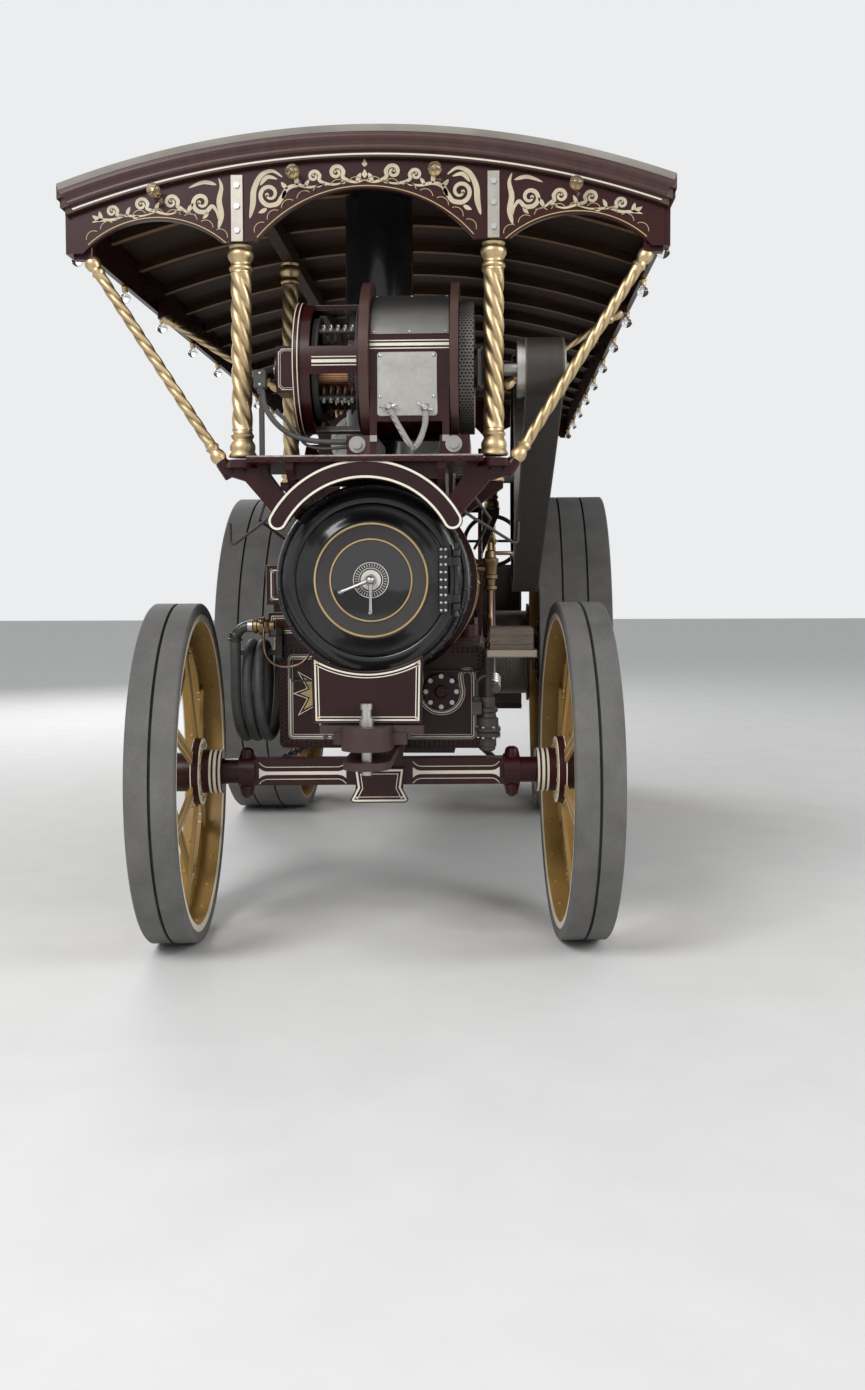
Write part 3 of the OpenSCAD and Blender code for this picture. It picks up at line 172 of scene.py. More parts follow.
class Finish(Tree):
    """A material and the record's slot it stands for. Patterns follow the object's own coordinates."""

    WORDS = {"colour": "Base Color", "rough": "Roughness", "metal": "Metallic",
        "shine": "Specular IOR Level", "coat": "Coat Weight", "through": "Transmission Weight",
        "ior": "IOR", "normal": "Normal"}

    def __init__(self, name, colour, rough=0.5, metal=0.0, slot=None, **sockets):
        self.slot = slot
        self.material = bpy.data.materials.new(name)
        self.material.use_nodes = True
        self.tree = self.material.node_tree
        self.surface = self.tree.nodes["Principled BSDF"]
        self.place = self.add("ShaderNodeTexCoord", out="Object")
        self.x, self.y, self.z = self.split(self.place)
        self.paint(colour=colour, rough=rough, metal=metal, **sockets)

    def split(self, vector):
        first = self.add("ShaderNodeSeparateXYZ", {}, {"Vector": vector})
        return [Wire(self.tree, socket) for socket in first.socket.node.outputs]

    def paint(self, **values):
        for word, value in values.items():
            self.join(value, self.surface.inputs[self.WORDS[word]])

    def noise(self, scale, detail=4, stretch=None):
        place = self.place
        if stretch:
            place = self.add("ShaderNodeMapping", {}, {"Vector": place, "Scale": stretch})
        settings = {"Vector": place, "Scale": scale, "Detail": detail, "Roughness": 0.55}
        return self.add("ShaderNodeTexNoise", {}, settings, "Fac")

    def blend(self, factor, first, second):
        """The first colour where the factor is 0, and the second where it is 1."""
        return self.add("ShaderNodeMix", {"data_type": "RGBA"}, {0: factor, 6: first, 7: second}, 2)

    def mottle(self, grain, tones, rough, gain=None, **sockets):
        """Two tones by a noise that roughens too; gain is its contrast and what is taken off it."""
        cloud = self.noise(*grain)
        share = (cloud * gain[0] - gain[1]).held() if gain else cloud
        self.paint(colour=self.blend(share, *tones), rough=rough[0] + cloud * rough[1], **sockets)
        return cloud

    def bump(self, height, distance, strength=1.0):
        """Relief from a height, or from a noise of that scale and detail."""
        height = height if isinstance(height, Wire) else self.noise(*height)
        sockets = {"Height": height, "Distance": distance, "Strength": strength}
        self.paint(normal=self.add("ShaderNodeBump", {}, sockets))


# The ground and the light: a pale floor, a plain pale sky that the metal also mirrors, and three broad
# lamps that keep the light soft, with the strongest high at the front.
floor_finish = Finish("pale_floor", (0.8, 0.8, 0.79), 0.9)
floor_finish.paint(colour=floor_finish.blend(floor_finish.noise(3.0, 5), (0.74, 0.74, 0.73),
    (0.84, 0.84, 0.83)))
floor_size, floor_drop = 60, 0.002
floor_mesh = bpy.data.meshes.new("floor")
floor_corners = ((-1, -1), (1, -1), (1, 1), (-1, 1))
floor_mesh.from_pydata([(x * floor_size, y * floor_size, -floor_drop) for x, y in floor_corners], [],
    [(0, 1, 2, 3)])
floor_mesh.materials.append(floor_finish.material)
floor = bpy.data.objects.new("floor", floor_mesh)
scene.collection.objects.link(floor)

world = bpy.data.worlds.new("pale_sky")
scene.world = world
world.use_nodes = True
sky = world.node_tree
background = sky.nodes["Background"]
rays = sky.nodes.new("ShaderNodeLightPath").outputs
camera_ray, mirror_ray, glass_ray = (Wire(sky, rays[word])
    for word in ("Is Camera Ray", "Is Glossy Ray", "Is Transmission Ray"))
sky_light, sky_seen = 0.42, 0.86
sky_strength = (camera_ray + (mirror_ray + glass_ray)).held() * (sky_seen - sky_light) + sky_light
sky.links.new(sky_strength.socket, background.inputs["Strength"])
background.inputs["Color"].default_value = (0.97, 0.985, 1, 1)
lights = (("front_light", (-4.5, at(-8.5), 8.5), (0, at(0), 1.4), 5.0, 760),
    ("side_light", (8.0, at(-3.5), 5.0), (0, at(1), 1.6), 5.0, 330),
    ("back_light", (-5.0, at(11), 7.0), (0, at(4), 2.0), 6.0, 520))
for name, place, aim, size, power in lights:
    light = bpy.data.lights.new(name, "AREA")
    light.shape, light.size, light.energy = "DISK", size, power
    lamp = bpy.data.objects.new(name, light)
    lamp.location = place
    lamp.rotation_euler = (Vector(aim) - Vector(place)).to_track_quat("-Z", "Y").to_euler()
    scene.collection.objects.link(lamp)


def make(name, verts, faces, finish, sharp=30):
    """A piece from corners and faces, with smooth shading on all but its sharp edges."""
    mesh = bpy.data.meshes.new(name)
    mesh.from_pydata([tuple(v) for v in verts], [], [tuple(f) for f in faces])
    mesh.validate()
    mesh.materials.append(finish.material)
    piece = bpy.data.objects.new(name, mesh)
    scene.collection.objects.link(piece)
    if sharp:
        mesh.shade_smooth()
        mesh.set_sharp_from_angle(angle=radians(sharp))
    return piece


def skin(rows, count, closed=False):
    """The faces of a sweep of rows with count corners each, capped at its ends or closed on itself."""
    faces = []
    for i in range(rows if closed else rows - 1):
        step = ((i + 1) % rows - i) * count
        for k in range(count):
            a, b = i * count + k, i * count + (k + 1) % count
            faces.append((a, b, b + step, a + step))
    if not closed:
        faces += [tuple(reversed(range(count))), tuple(range((rows - 1) * count, rows * count))]
    return faces


def pipe(path, radii, sides=16):
    """The corners and faces of a tube whose rings follow a path, each with its own radius."""
    path = [Vector(p) for p in path]
    if not hasattr(radii, "__len__"):
        radii = [radii] * len(path)
    verts, normal = [], None
    for i, point in enumerate(path):
        along = (path[min(i + 1, len(path) - 1)] - path[max(i - 1, 0)]).normalized()
        if normal is None:
            normal = along.orthogonal().normalized()
        else:
            normal = (normal - along * normal.dot(along)).normalized()
        side = along.cross(normal)
        for k in range(sides):
            angle = 2 * pi * k / sides
            verts.append(point + radii[i] * (cos(angle) * normal + sin(angle) * side))
    return verts, skin(len(path), sides)


# The suction hose: ribbed rubber hose that hangs from the swan neck by the offside front wheel, runs two
# and a half turns round two hooks on the tank and ends in a brass strainer that stands in a clip.
hose_radius, rib_pitch, rib_depth = 0.024, 0.009, 0.0016
hose_x, hose_front, hose_rear = -0.606, -0.026, 0.374
hose_lane, hose_turns, hose_step = 0.049, 2.5, 0.02
loop_radius, loop_low, loop_high = 0.2, 1.039, 1.04
neck_z, strainer_top = 1.2617, 1.1855
hose_finish = Finish("ribbed_hose", (0.045, 0.045, 0.046), 0.55)
hose_finish.mottle((26, 5), ((0.028, 0.028, 0.03), (0.085, 0.083, 0.08)), (0.42, 0.3))
hose_finish.bump((140, 3), 0.0006)
lap = 2 * pi * loop_radius + 2 * (loop_high - loop_low)
loop_y = (hose_front + hose_rear) / 2


def on_loop(s):
    """A point of the coil, s metres round it from the top of its front limb."""
    x = hose_x + hose_lane * s / lap
    s = s % lap
    limb = loop_high - loop_low
    bend = pi * loop_radius
    if s < limb:
        return Vector((x, at(hose_front), loop_high - s))
    if s < limb + bend:
        angle = (s - limb) / loop_radius
        return Vector((x, at(loop_y - loop_radius * cos(angle)), loop_low - loop_radius * sin(angle)))
    if s < 2 * limb + bend:
        return Vector((x, at(hose_rear), loop_low + s - limb - bend))
    angle = (s - 2 * limb - bend) / loop_radius
    return Vector((x, at(loop_y + loop_radius * cos(angle)), loop_high + loop_radius * sin(angle)))


coil_length = hose_turns * lap
hose_line = [Vector((hose_x, at(hose_front), neck_z - hose_step * i)) for i in range(12)]
hose_line += [on_loop(hose_step * i) for i in range(1, int(coil_length / hose_step))]
hose_end_x = hose_x + hose_lane * hose_turns
hose_line += [Vector((hose_end_x, at(hose_rear), loop_high + hose_step * i)) for i in range(8)]
hose_line += [Vector((hose_end_x, at(hose_rear), strainer_top))]
hose_steps = [0.0]
for before, after in zip(hose_line, hose_line[1:]):
    hose_steps.append(hose_steps[-1] + (after - before).length)
hose_length = hose_steps[-1]
rings, ring_radii = [], []
for i in range(int(hose_length / rib_pitch * 3) + 1):
    s = i * rib_pitch / 3
    k = min(int(np.searchsorted(hose_steps, s, side="right")) - 1, len(hose_line) - 2)
    share = (s - hose_steps[k]) / (hose_steps[k + 1] - hose_steps[k])
    rings.append(hose_line[k].lerp(hose_line[k + 1], share))
    ring_radii.append(hose_radius - (0, rib_depth, rib_depth)[i % 3])
hose = make("suction_hose", *pipe(rings, ring_radii, 14), hose_finish, 60)
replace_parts(hose, "hose_lead", "hose_coil")
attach(hose, "engine")
at(hose_front)


def finish_node(name, finish):
    """Gives a CAD node its material."""
    mesh = nodes[name].data
    mesh.materials.clear()
    mesh.materials.append(finish.material)


# Rubber tyres: solid rubber pressed on in strips, greyed by the road, with fine dirt and scuffs.
rubber = Finish("road_rubber", (0.07, 0.07, 0.07), 0.75)
dirt = rubber.noise(7, 6)
speckle = rubber.noise(170, 3)
rubber.paint(colour=rubber.blend((dirt * 0.8 + speckle * 0.5 - 0.2).held(), (0.055, 0.054, 0.054),
    (0.21, 0.205, 0.195)), rough=0.62 + dirt * 0.25)
rubber.bump(speckle, 0.0015, 0.6)
for tyre in ("front_tyre_nearside", "front_tyre_offside", "rear_tyre_nearside", "rear_tyre_offside"):
    finish_node(tyre, rubber)

# Front wheels: steel rims with a T-ring inside, riveted flat spokes and cast hubs. They are enamelled ochre
# and lined in cream along every spoke; the hubs are crimson lake with cream bands, and a brass cap ends the
# axle.
lake_dark, lake_light = (0.017, 0.002, 0.0028), (0.04, 0.0048, 0.0058)
cream = (0.74, 0.69, 0.55)
brass_dull, brass_bright = (0.36, 0.23, 0.09), (0.8, 0.6, 0.31)
rest_turn = radians(3.49)
axle_z = (tyre_low.z + tyre_high.z) / 2
steered = Matrix.Translation((0, front_y, 0)) @ Matrix.Rotation(rest_turn, 4, "Z")
front_in, front_width, front_rim = 0.745, 0.19, 0.637
front_out = front_in + front_width


def wheel_finish(name, side, turn, centre_y, centre_z, spokes, sizes):
    """Ochre enamel with lines and a dark banded hub, by the distance from the axle and along it."""
    paint = Finish(name, (0.36, 0.21, 0.05), 0.4)
    along = (paint.x * cos(turn) + (paint.y - centre_y) * sin(turn)) * side
    sideways = (paint.y - centre_y) * cos(turn) - paint.x * sin(turn)
    up = paint.z - centre_z
    radius = sideways.reach(up)
    step = 2 * pi / spokes
    angle = (sideways.math("ARCTAN2", up) + step / 2) % step - step / 2
    across_spoke = (angle * radius).size()
    grime = paint.noise(11, 6)
    ochre = paint.blend((grime * 1.3 - 0.2).held(), (0.4, 0.235, 0.06), (0.27, 0.165, 0.055))
    lines = across_spoke.within(*sizes["spoke_line"]) * radius.within(*sizes["spoke_reach"])
    for low, high in sizes["rim_lines"]:
        lines = lines + along.within(low, high) * radius.above(sizes["rim_radius"] - 0.004)
    hub = radius.below(sizes["hub_radius"]) * along.within(sizes["hub_in"], sizes["hub_out"])
    bands = radius.within(*sizes["flange_line"])
    for low, high in sizes["bands"]:
        bands = (bands + along.within(low, high)).held()
    colour = paint.blend(lines.held(), ochre, cream)
    colour = paint.blend(hub, colour, paint.blend(grime, lake_dark, lake_light))
    colour = paint.blend(hub * bands, colour, cream)
    cap = radius.below(sizes["cap_radius"]) * along.above(sizes["cap_from"])
    colour = paint.blend(cap, colour, paint.blend(grime, brass_dull, brass_bright))
    paint.paint(colour=colour, metal=cap, rough=0.3 + grime * 0.3 - hub * 0.1, shine=0.35)
    paint.bump((60, 3), 0.0006, 0.4)
    return paint


def mm(*pairs):
    """Pairs of measures that are given in millimetres."""
    return [(a / 1000, b / 1000) for a, b in pairs]


front_sizes = {"spoke_line": (0.0165, 0.0205), "spoke_reach": (0.15, 0.61), "rim_radius": front_rim,
    "rim_lines": [(front_in, front_in + 0.008), (front_out - 0.008, front_out)], "hub_radius": 0.146,
    "hub_in": 0.0, "hub_out": front_out - 0.015, "flange_line": (0.13, 0.1335),
    "bands": mm((664, 673), (682, 694), (703, 712), (744.5, 748.5), (777.5, 781.5)), "cap_radius": 0.074,
    "cap_from": front_out - 0.002}
SIDES = ((1, "nearside"), (-1, "offside"))
for side, word in SIDES:
    finish_node("front_wheel_" + word, wheel_finish("front_wheel_enamel_" + word, side, rest_turn, front_y,
        axle_z, 12, front_sizes))

rivet_paint = Finish("rivet_enamel", (0.42, 0.25, 0.07), 0.35, slot="straw_paint")
rivet_paint.paint(rough=0.28 + rivet_paint.noise(40) * 0.3)


class Pattern(Tree):
    """A Geometry Nodes tree with named inputs for its sizes, which ends as a plain mesh."""

    def __init__(self, name, **sizes):
        self.tree = bpy.data.node_groups.new(name, "GeometryNodeTree")
        for way in ("INPUT", "OUTPUT"):
            self.tree.interface.new_socket("Geometry", in_out=way, socket_type="NodeSocketGeometry")
        self.sizes = [(self.tree.interface.new_socket(word, in_out="INPUT", socket_type="NodeSocketFloat"),
            size) for word, size in sizes.items()]
        self.given = {socket.name: Wire(self.tree, socket)
            for socket in self.tree.nodes.new("NodeGroupInput").outputs}

    def piece(self, name, mesh, geometry, finish, smooth=True):
        real = self.add("GeometryNodeRealizeInstances", {}, {"Geometry": geometry})
        coat = self.add("GeometryNodeSetMaterial", {}, {"Geometry": real, "Material": finish.material})
        self.join(coat, self.tree.nodes.new("NodeGroupOutput").inputs["Geometry"])
        piece = bpy.data.objects.new(name, mesh)
        scene.collection.objects.link(piece)
        modifier = piece.modifiers.new(name, "NODES")
        modifier.node_group = self.tree
        for socket, size in self.sizes:
            modifier[socket.identifier] = size
        result = bpy.data.meshes.new_from_object(piece.evaluated_get(bpy.context.evaluated_depsgraph_get()))
        piece.modifiers.remove(modifier)
        piece.data = result
        result.name = name
        if smooth:
            result.shade_smooth()
        return piece


def heads(name, places, radius, finish, kind="dome", height=0.6, body="engine"):
    """Rivets or hexagon bolt heads: Geometry Nodes set one at each (point, direction) of places."""
    mesh = bpy.data.meshes.new(name)
    mesh.from_pydata([tuple(p) for p, _ in places], [], [])
    facing = mesh.attributes.new("facing", "FLOAT_VECTOR", "POINT")
    facing.data.foreach_set("vector", np.array([tuple(d) for _, d in places], "f").ravel())
    rule = Pattern(name, **{"Head Radius": radius})
    size, dome = rule.given["Head Radius"], kind == "dome"
    if dome:
        head = rule.add("GeometryNodeMeshUVSphere", {}, {"Segments": 10, "Rings": 6, "Radius": size})
    else:
        head = rule.add("GeometryNodeMeshCylinder", {}, {"Vertices": 6, "Depth": 2 * height * radius,
            "Radius": size})
    head = rule.add("GeometryNodeTransform", {}, {"Geometry": head, "Scale": (1, 1, height if dome else 1)})
    way = rule.add("GeometryNodeInputNamedAttribute", {"data_type": "FLOAT_VECTOR"}, {"Name": "facing"},
        "Attribute")
    aligned = rule.add("FunctionNodeAlignRotationToVector", {"axis": "Z"}, {"Vector": way})
    points = rule.add("GeometryNodeMeshToPoints", {}, {"Mesh": rule.given["Geometry"]})
    spread = rule.add("GeometryNodeInstanceOnPoints", {},
        {"Points": points, "Instance": head, "Rotation": aligned})
    piece = rule.piece(name, mesh, spread, finish, dome)
    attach(piece, body)
    return piece


ACROSS, AHEAD, UP = Vector((1, 0, 0)), Vector((0, -1, 0)), Vector((0, 0, 1))


def ring_of(count, radius, along, facing, centre_z, shift=0.0):
    """Places round an axle that lies along X; facing is in, out, or +1 or -1 for a face across the axle."""
    places = []
    for i in range(count):
        angle = 2 * pi * (i + shift) / count
        radial = Vector((0, sin(angle), cos(angle)))
        direction = {"in": -radial, "out": radial}.get(facing) or Vector((facing, 0, 0))
        places.append((Vector((along, 0, centre_z)) + radius * radial, direction))
    return places


def outward(degrees, first=ACROSS):
    """The direction so many degrees up from the first one."""
    return first * cos(radians(degrees)) + UP * sin(radians(degrees))


def round_about(centre, way, radius, count, shift=0.0):
    """Places at equal steps round a centre, in the plane across way, all facing that way."""
    first, second = (-AHEAD if way.x else ACROSS), (-AHEAD if way.z else UP)
    turns = [2 * pi * (i + shift) / count for i in range(count)]
    return [(Vector(centre) + radius * (cos(a) * first + sin(a) * second), way) for a in turns]


def placed(places, matrix):
    return [(matrix @ Vector(point), matrix.to_3x3() @ direction) for point, direction in places]


front_mid = front_in + front_width / 2
for side, word in SIDES:
    flip = steered @ Matrix.Diagonal((side, 1, 1, 1))
    body = "front_wheel_" + word
    rim_rivets = ring_of(24, front_rim, front_in + 0.04, "in", axle_z) + ring_of(24, front_rim,
        front_out - 0.04, "in", axle_z, 0.5)
    heads(body + "_rim_rivets", placed(rim_rivets, flip), 0.0105, rivet_paint, body=body)
    web_rivets = []
    for shift in (-0.105, 0.105):
        for radius, way in ((0.578, -1), (0.616, 1), (0.616, -1)):
            web_rivets += ring_of(24, radius, front_mid + way * 0.0075, way, axle_z, shift)
    heads(body + "_web_rivets", placed(web_rivets, flip), 0.0075, rivet_paint, body=body)
    hub_bolts = [place for x, way in ((front_in - 0.001, -1), (front_out - 0.019, 1))
        for place in ring_of(12, 0.115, x, way, axle_z, 0.5)]
    heads(body + "_hub_bolts", placed(hub_bolts, flip), 0.01, rivet_paint, "hex", 0.5, body=body)

# Painted work: crimson lake on nearly every plate and casting, rubbed down, varnished and a little dusty.
lake = Finish("crimson_lake", lake_dark, 0.3, slot="maroon_paint")
lake.mottle((2.2, 6), (lake_dark, lake_light), (0.18, 0.22), (1.4, 0.2), shine=0.3)
lake.bump((14, 4), 0.001, 0.3)
for name in ("front_axle", "perch_bracket", "dynamo_bracket", "canopy_valances", "belly_tank",
        "side_lockers", "boiler", "hornplates", "motion_covers", "gear_cover"):
    finish_node(name, lake)

# Line work: what the signwriter's brush leaves on the lake, laid as thin ribbons just proud of the paint.
cream_line = Finish("cream_line", cream, 0.35, slot="straw_paint")
cream_line.paint(colour=cream_line.blend(cream_line.noise(18, 4), (0.88, 0.85, 0.74), (0.72, 0.67, 0.54)),
    rough=0.28 + cream_line.noise(30) * 0.2)
straw_line = Finish("straw_line", (0.5, 0.36, 0.12), 0.35, slot="straw_paint")
straw_line.paint(colour=straw_line.blend(straw_line.noise(18, 4), (0.56, 0.42, 0.17), (0.42, 0.3, 0.11)),
    rough=0.28 + straw_line.noise(30) * 0.2)


PAINT_LIFT = 0.0006


def ribbon(points, widths, normal, closed=True, lift=PAINT_LIFT):
    """The corners and faces of a flat band along points, lying in the plane that faces normal."""
    points = [Vector(p) for p in points]
    normal = Vector(normal).normalized()
    if not hasattr(widths, "__len__"):
        widths = [widths] * len(points)
    verts, faces = [], []
    count = len(points)
    for i, point in enumerate(points):
        before = points[i - 1] if closed or i else points[i]
        after = points[(i + 1) % count] if closed or i < count - 1 else points[i]
        first, second = (point - before), (after - point)
        first = first.normalized() if first.length > 1e-7 else second.normalized()
        second = second.normalized() if second.length > 1e-7 else first
        along = (first + second).normalized()
        side = normal.cross(along)
        stretch = 1 / max(0.35, side.dot(normal.cross(first)))
        verts.append(point + side * widths[i] / 2 * stretch + normal * lift)
        verts.append(point - side * widths[i] / 2 * stretch + normal * lift)
    for i in range(count if closed else count - 1):
        a, b = 2 * i, 2 * ((i + 1) % count)
        faces.append((a, a + 1, b + 1, b))
    return verts, faces


def join(parts):
    """Several lists of corners and faces as one."""
    verts, faces = [], []
    for part_verts, part_faces in parts:
        start = len(verts)
        verts += [Vector(v) for v in part_verts]
        faces += [tuple(start + k for k in face) for face in part_faces]
    return verts, faces


def moved(part, matrix):
    verts, faces = [matrix @ Vector(v) for v in part[0]], part[1]
    if matrix.determinant() < 0:
        faces = [tuple(reversed(face)) for face in faces]
    return verts, faces


def inset(outline, distance):
    """A closed outline of (across, up) pairs that runs anticlockwise, drawn in by a distance."""
    result = []
    count = len(outline)
    for i, (a, b) in enumerate(outline):
        before, after = outline[i - 1], outline[(i + 1) % count]
        first, second = Vector((a - before[0], b - before[1])), Vector((after[0] - a, after[1] - b))
        if first.length < 1e-7 or second.length < 1e-7:
            continue
        first.normalize()
        second.normalize()
        normal_a, normal_b = Vector((-first.y, first.x)), Vector((-second.y, second.x))
        middle = (normal_a + normal_b).normalized()
        reach = distance / max(0.4, middle.dot(normal_a))
        result.append((a + middle.x * reach, b + middle.y * reach))
    return result


def bow(centre, radius, start, end, steps=12):
    """Points (across, up) along an arc, its angles in degrees."""
    angles = [radians(start + (end - start) * i / steps) for i in range(steps + 1)]
    return [(centre[0] + radius * cos(a), centre[1] + radius * sin(a)) for a in angles]


def panel(low, high, radius=0.0, hollow=False):
    """A rectangle of (across, up) pairs, anticlockwise, with square, round or scooped corners."""
    (a0, b0), (a1, b1) = low, high
    if not radius:
        return [(a0, b0), (a1, b0), (a1, b1), (a0, b1)]
    if hollow:
        return (bow((a0, b0), radius, 90, 0, 6) + bow((a1, b0), radius, 180, 90, 6) + bow((a1, b1), radius,
            270, 180, 6) + bow((a0, b1), radius, 360, 270, 6))
    return (bow((a0 + radius, b0 + radius), radius, 180, 270, 6) + bow((a1 - radius, b0 + radius), radius,
        270, 360, 6) + bow((a1 - radius, b1 - radius), radius, 0, 90, 6) + bow((a0 + radius, b1 - radius),
        radius, 90, 180, 6))


class Face:
    """A flat face that takes line work: its origin, and the ways across and up as one looks at it."""

    def __init__(self, origin, u=ACROSS, v=UP):
        self.origin, self.u, self.v = Vector(origin), Vector(u), Vector(v)
        self.normal = self.u.cross(self.v)

    def at(self, a, b, lift=0.0):
        return self.origin + a * self.u + b * self.v + lift * self.normal

    def line(self, outline, width, closed=True, lift=PAINT_LIFT):
        return ribbon([self.at(*p) for p in outline], width, self.normal, closed, lift)

    def frame(self, outline, *lines):
        """Closed lines at (distance in, width) pairs inside an outline."""
        return join([self.line(inset(outline, distance), width) for distance, width in lines])

    def fill(self, outline, lift=PAINT_LIFT):
        points = [self.at(a, b, lift) for a, b in outline]
        middle = sum(points, Vector()) / len(points)
        count = len(points)
        return [middle] + points, [(0, i + 1, (i + 1) % count + 1) for i in range(count)]

    def slab(self, outline, thick, bevel=0.002):
        """A plate of that outline and thickness, with a small chamfer round its front edge."""
        count = len(outline)
        inner = inset(outline, bevel)
        if len(inner) != count:
            inner = outline
        verts = [self.at(a, b) for a, b in outline]
        verts += [self.at(a, b, thick - bevel) for a, b in outline]
        verts += [self.at(a, b, thick) for a, b in inner]
        faces = []
        for layer in (0, count):
            faces += [(layer + i, layer + (i + 1) % count, layer + count + (i + 1) % count,
                layer + count + i) for i in range(count)]
        faces += [tuple(range(2 * count, 3 * count)), tuple(reversed(range(count)))]
        return verts, faces


def flank(side, x, y=front_y):
    """The face that looks out to one side at that distance from the middle."""
    return Face((side * x, y, 0), (0, side, 0))


def sided(outline, side):
    """An outline of (back, up) pairs as it lies on a flank, still anticlockwise."""
    return [(side * y, z) for y, z in outline][::side]


def add(name, part, finish, sharp=30, body="engine"):
    """A piece of corners and faces, or of several such parts, that rides on a body."""
    piece = make(name, *(join(part) if isinstance(part, list) else part), finish, sharp)
    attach(piece, body)
    return piece


# Front axle: a square forged beam that swivels on the perch bracket's pin, with a cast fork and a flared
# shield in the middle. Each half of the beam carries a cream bar between fine flared lines.
journal_x = 0.56
beam_face = Face((0, -0.045, axle_z - 0.004))
beam_lines = []
bar_in, bar_out, bar_half, flare = 0.14, 0.506, 0.0095, 0.02
for side in (-1, 1):
    top = []
    for i in range(25):
        share = i / 24
        edge = min(share, 1 - share) * (bar_out - bar_in)
        top.append((bar_in + share * (bar_out - bar_in), bar_half + flare
            * max(0.0, 1 - edge / 0.035) ** 2.2))
    for sign in (-1, 1):
        beam_lines.append(beam_face.line([(a * side, sign * (b + 0.016)) for a, b in top], 0.0028, False))
    bar = [(a * side, b * 0.75) for a, b in top]
    beam_lines.append(beam_face.line([(a, 0) for a, _ in bar], [2 * b for _, b in bar], False))
add("axle_lining", moved(join(beam_lines), steered), cream_line, None, body="front_axle")
shield = mm((-108, -122), (108, -122), (122, -112), (94, -58), (105, 22), (-105, 22), (-94, -58),
    (-122, -112))
shield_face = Face((0, -0.104, axle_z))
add("shield_lining", moved(shield_face.frame(shield, (0.009, 0.008), (0.024, 0.003)), steered), cream_line,
    None, body="front_axle")
axle_bolts = []
for side in (-1, 1):
    axle_bolts += [((side * x, y, axle_z + z), AHEAD) for x, y, z in ((0.52, -0.0455, 0.036),
        (0.52, -0.0455, -0.036), (journal_x, -0.068, -0.002))]
heads("axle_bolts", placed(axle_bolts, steered), 0.013, lake, "hex", 0.55, body="front_axle")


def turned(profile, centre, axis, steps=48, closed=False):
    """A profile of (distance along the axis, radius) swept round it; closed joins the profile's ends."""
    axis = Vector(axis).normalized()
    u = axis.orthogonal().normalized()
    v = axis.cross(u)
    centre, verts = Vector(centre), []
    if closed and sum(a[0] * b[1] - a[1] * b[0] for a, b in zip(profile, profile[1:] + profile[:1])) > 0:
        profile = profile[::-1]
    for along, radius in profile:
        for k in range(steps):
            angle = 2 * pi * k / steps
            verts.append(centre + axis * along + max(radius, 1e-5) * (cos(angle) * u + sin(angle) * v))
    return verts, skin(len(profile), steps, closed)


# Clamp knuckles at the beam's ends, where the axle journals are keyed in.
knuckles = []
for side in (-1, 1):
    knuckles.append(turned(mm((-46, 26), (-40, 32), (0, 32), (20, 26), (28, 14)),
        (side * journal_x, -0.006, axle_z + 0.072), UP, 24))
    knuckles.append(turned(mm((0, 30), (12, 32), (40, 26), (52, 12)),
        (side * journal_x, -0.006, axle_z - 0.06), -UP, 24))
add("axle_knuckles", moved(join(knuckles), steered), lake, body="front_axle")

# Smokebox: a riveted drum with a broad rounded cast ring round its door, kept in gloss black. The door
# hangs on a long pin at the nearside, held in two knuckles.
boiler_z = 1.512
glossy = Finish("smokebox_black", (0.012, 0.012, 0.013), 0.2, slot="black_paint")
glossy.mottle((5, 6), ((0.008, 0.008, 0.009), (0.02, 0.02, 0.021)), (0.13, 0.2), shine=0.4, coat=0.2)
glossy.bump((9, 3), 0.0012, 0.25)
box_centre = (0, front_y, boiler_z)
box_back, box_radius = 0.42, 0.386
smokebox_profile = [(-0.288, 0.291), (-0.32, 0.291), (-0.331, 0.299), (-0.337, 0.315), (-0.336, 0.334),
    (-0.328, 0.35), (-0.316, 0.359), (-0.309, 0.363), (-0.313, 0.368), (-0.313, 0.378), (-0.306, 0.3835),
    (-0.296, box_radius), (0.0, box_radius), (0.3, box_radius), (box_back, box_radius), (box_back, 0.2),
    (box_back - 0.012, 0.2), (box_back - 0.012, 0.374), (-0.288, 0.374)]
drum = turned(smokebox_profile, box_centre, -AHEAD, 96, True)
pin_x, pin_y = 0.335, -0.348
hinge_parts = [turned(mm((-150, 4), (-146, 10), (-136, 10), (-130, 7.5), (130, 7.5), (136, 10), (146, 10),
    (150, 4)), (pin_x, at(pin_y), boiler_z), UP, 16)]
for low in (-0.12, 0.092):
    hinge_parts.append(turned([(low, 0.013), (low + 0.003, 0.016), (low + 0.025, 0.016),
        (low + 0.028, 0.013)], (pin_x, at(pin_y), boiler_z), UP, 24))
    hinge_parts.append(Face((pin_x, at(-0.31), boiler_z)).slab(panel((-0.014, low), (0.014, low + 0.028)),
        0.03))
smokebox = add("smokebox_shell", [drum] + hinge_parts, glossy, 35)
smokebox.data.validate()
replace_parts(smokebox, "smokebox")
box_rivets = []
for along in (-0.27, box_back - 0.04):
    for i in range(44):
        radial = outward(360 * (i + 0.5) / 44)
        box_rivets.append((Vector((0, at(along), boiler_z)) + box_radius * radial, radial))
box_rivets += round_about((0, at(-0.3135), boiler_z), AHEAD, 0.373, 32, 0.5)
heads("smokebox_rivets", box_rivets, 0.0075, glossy)

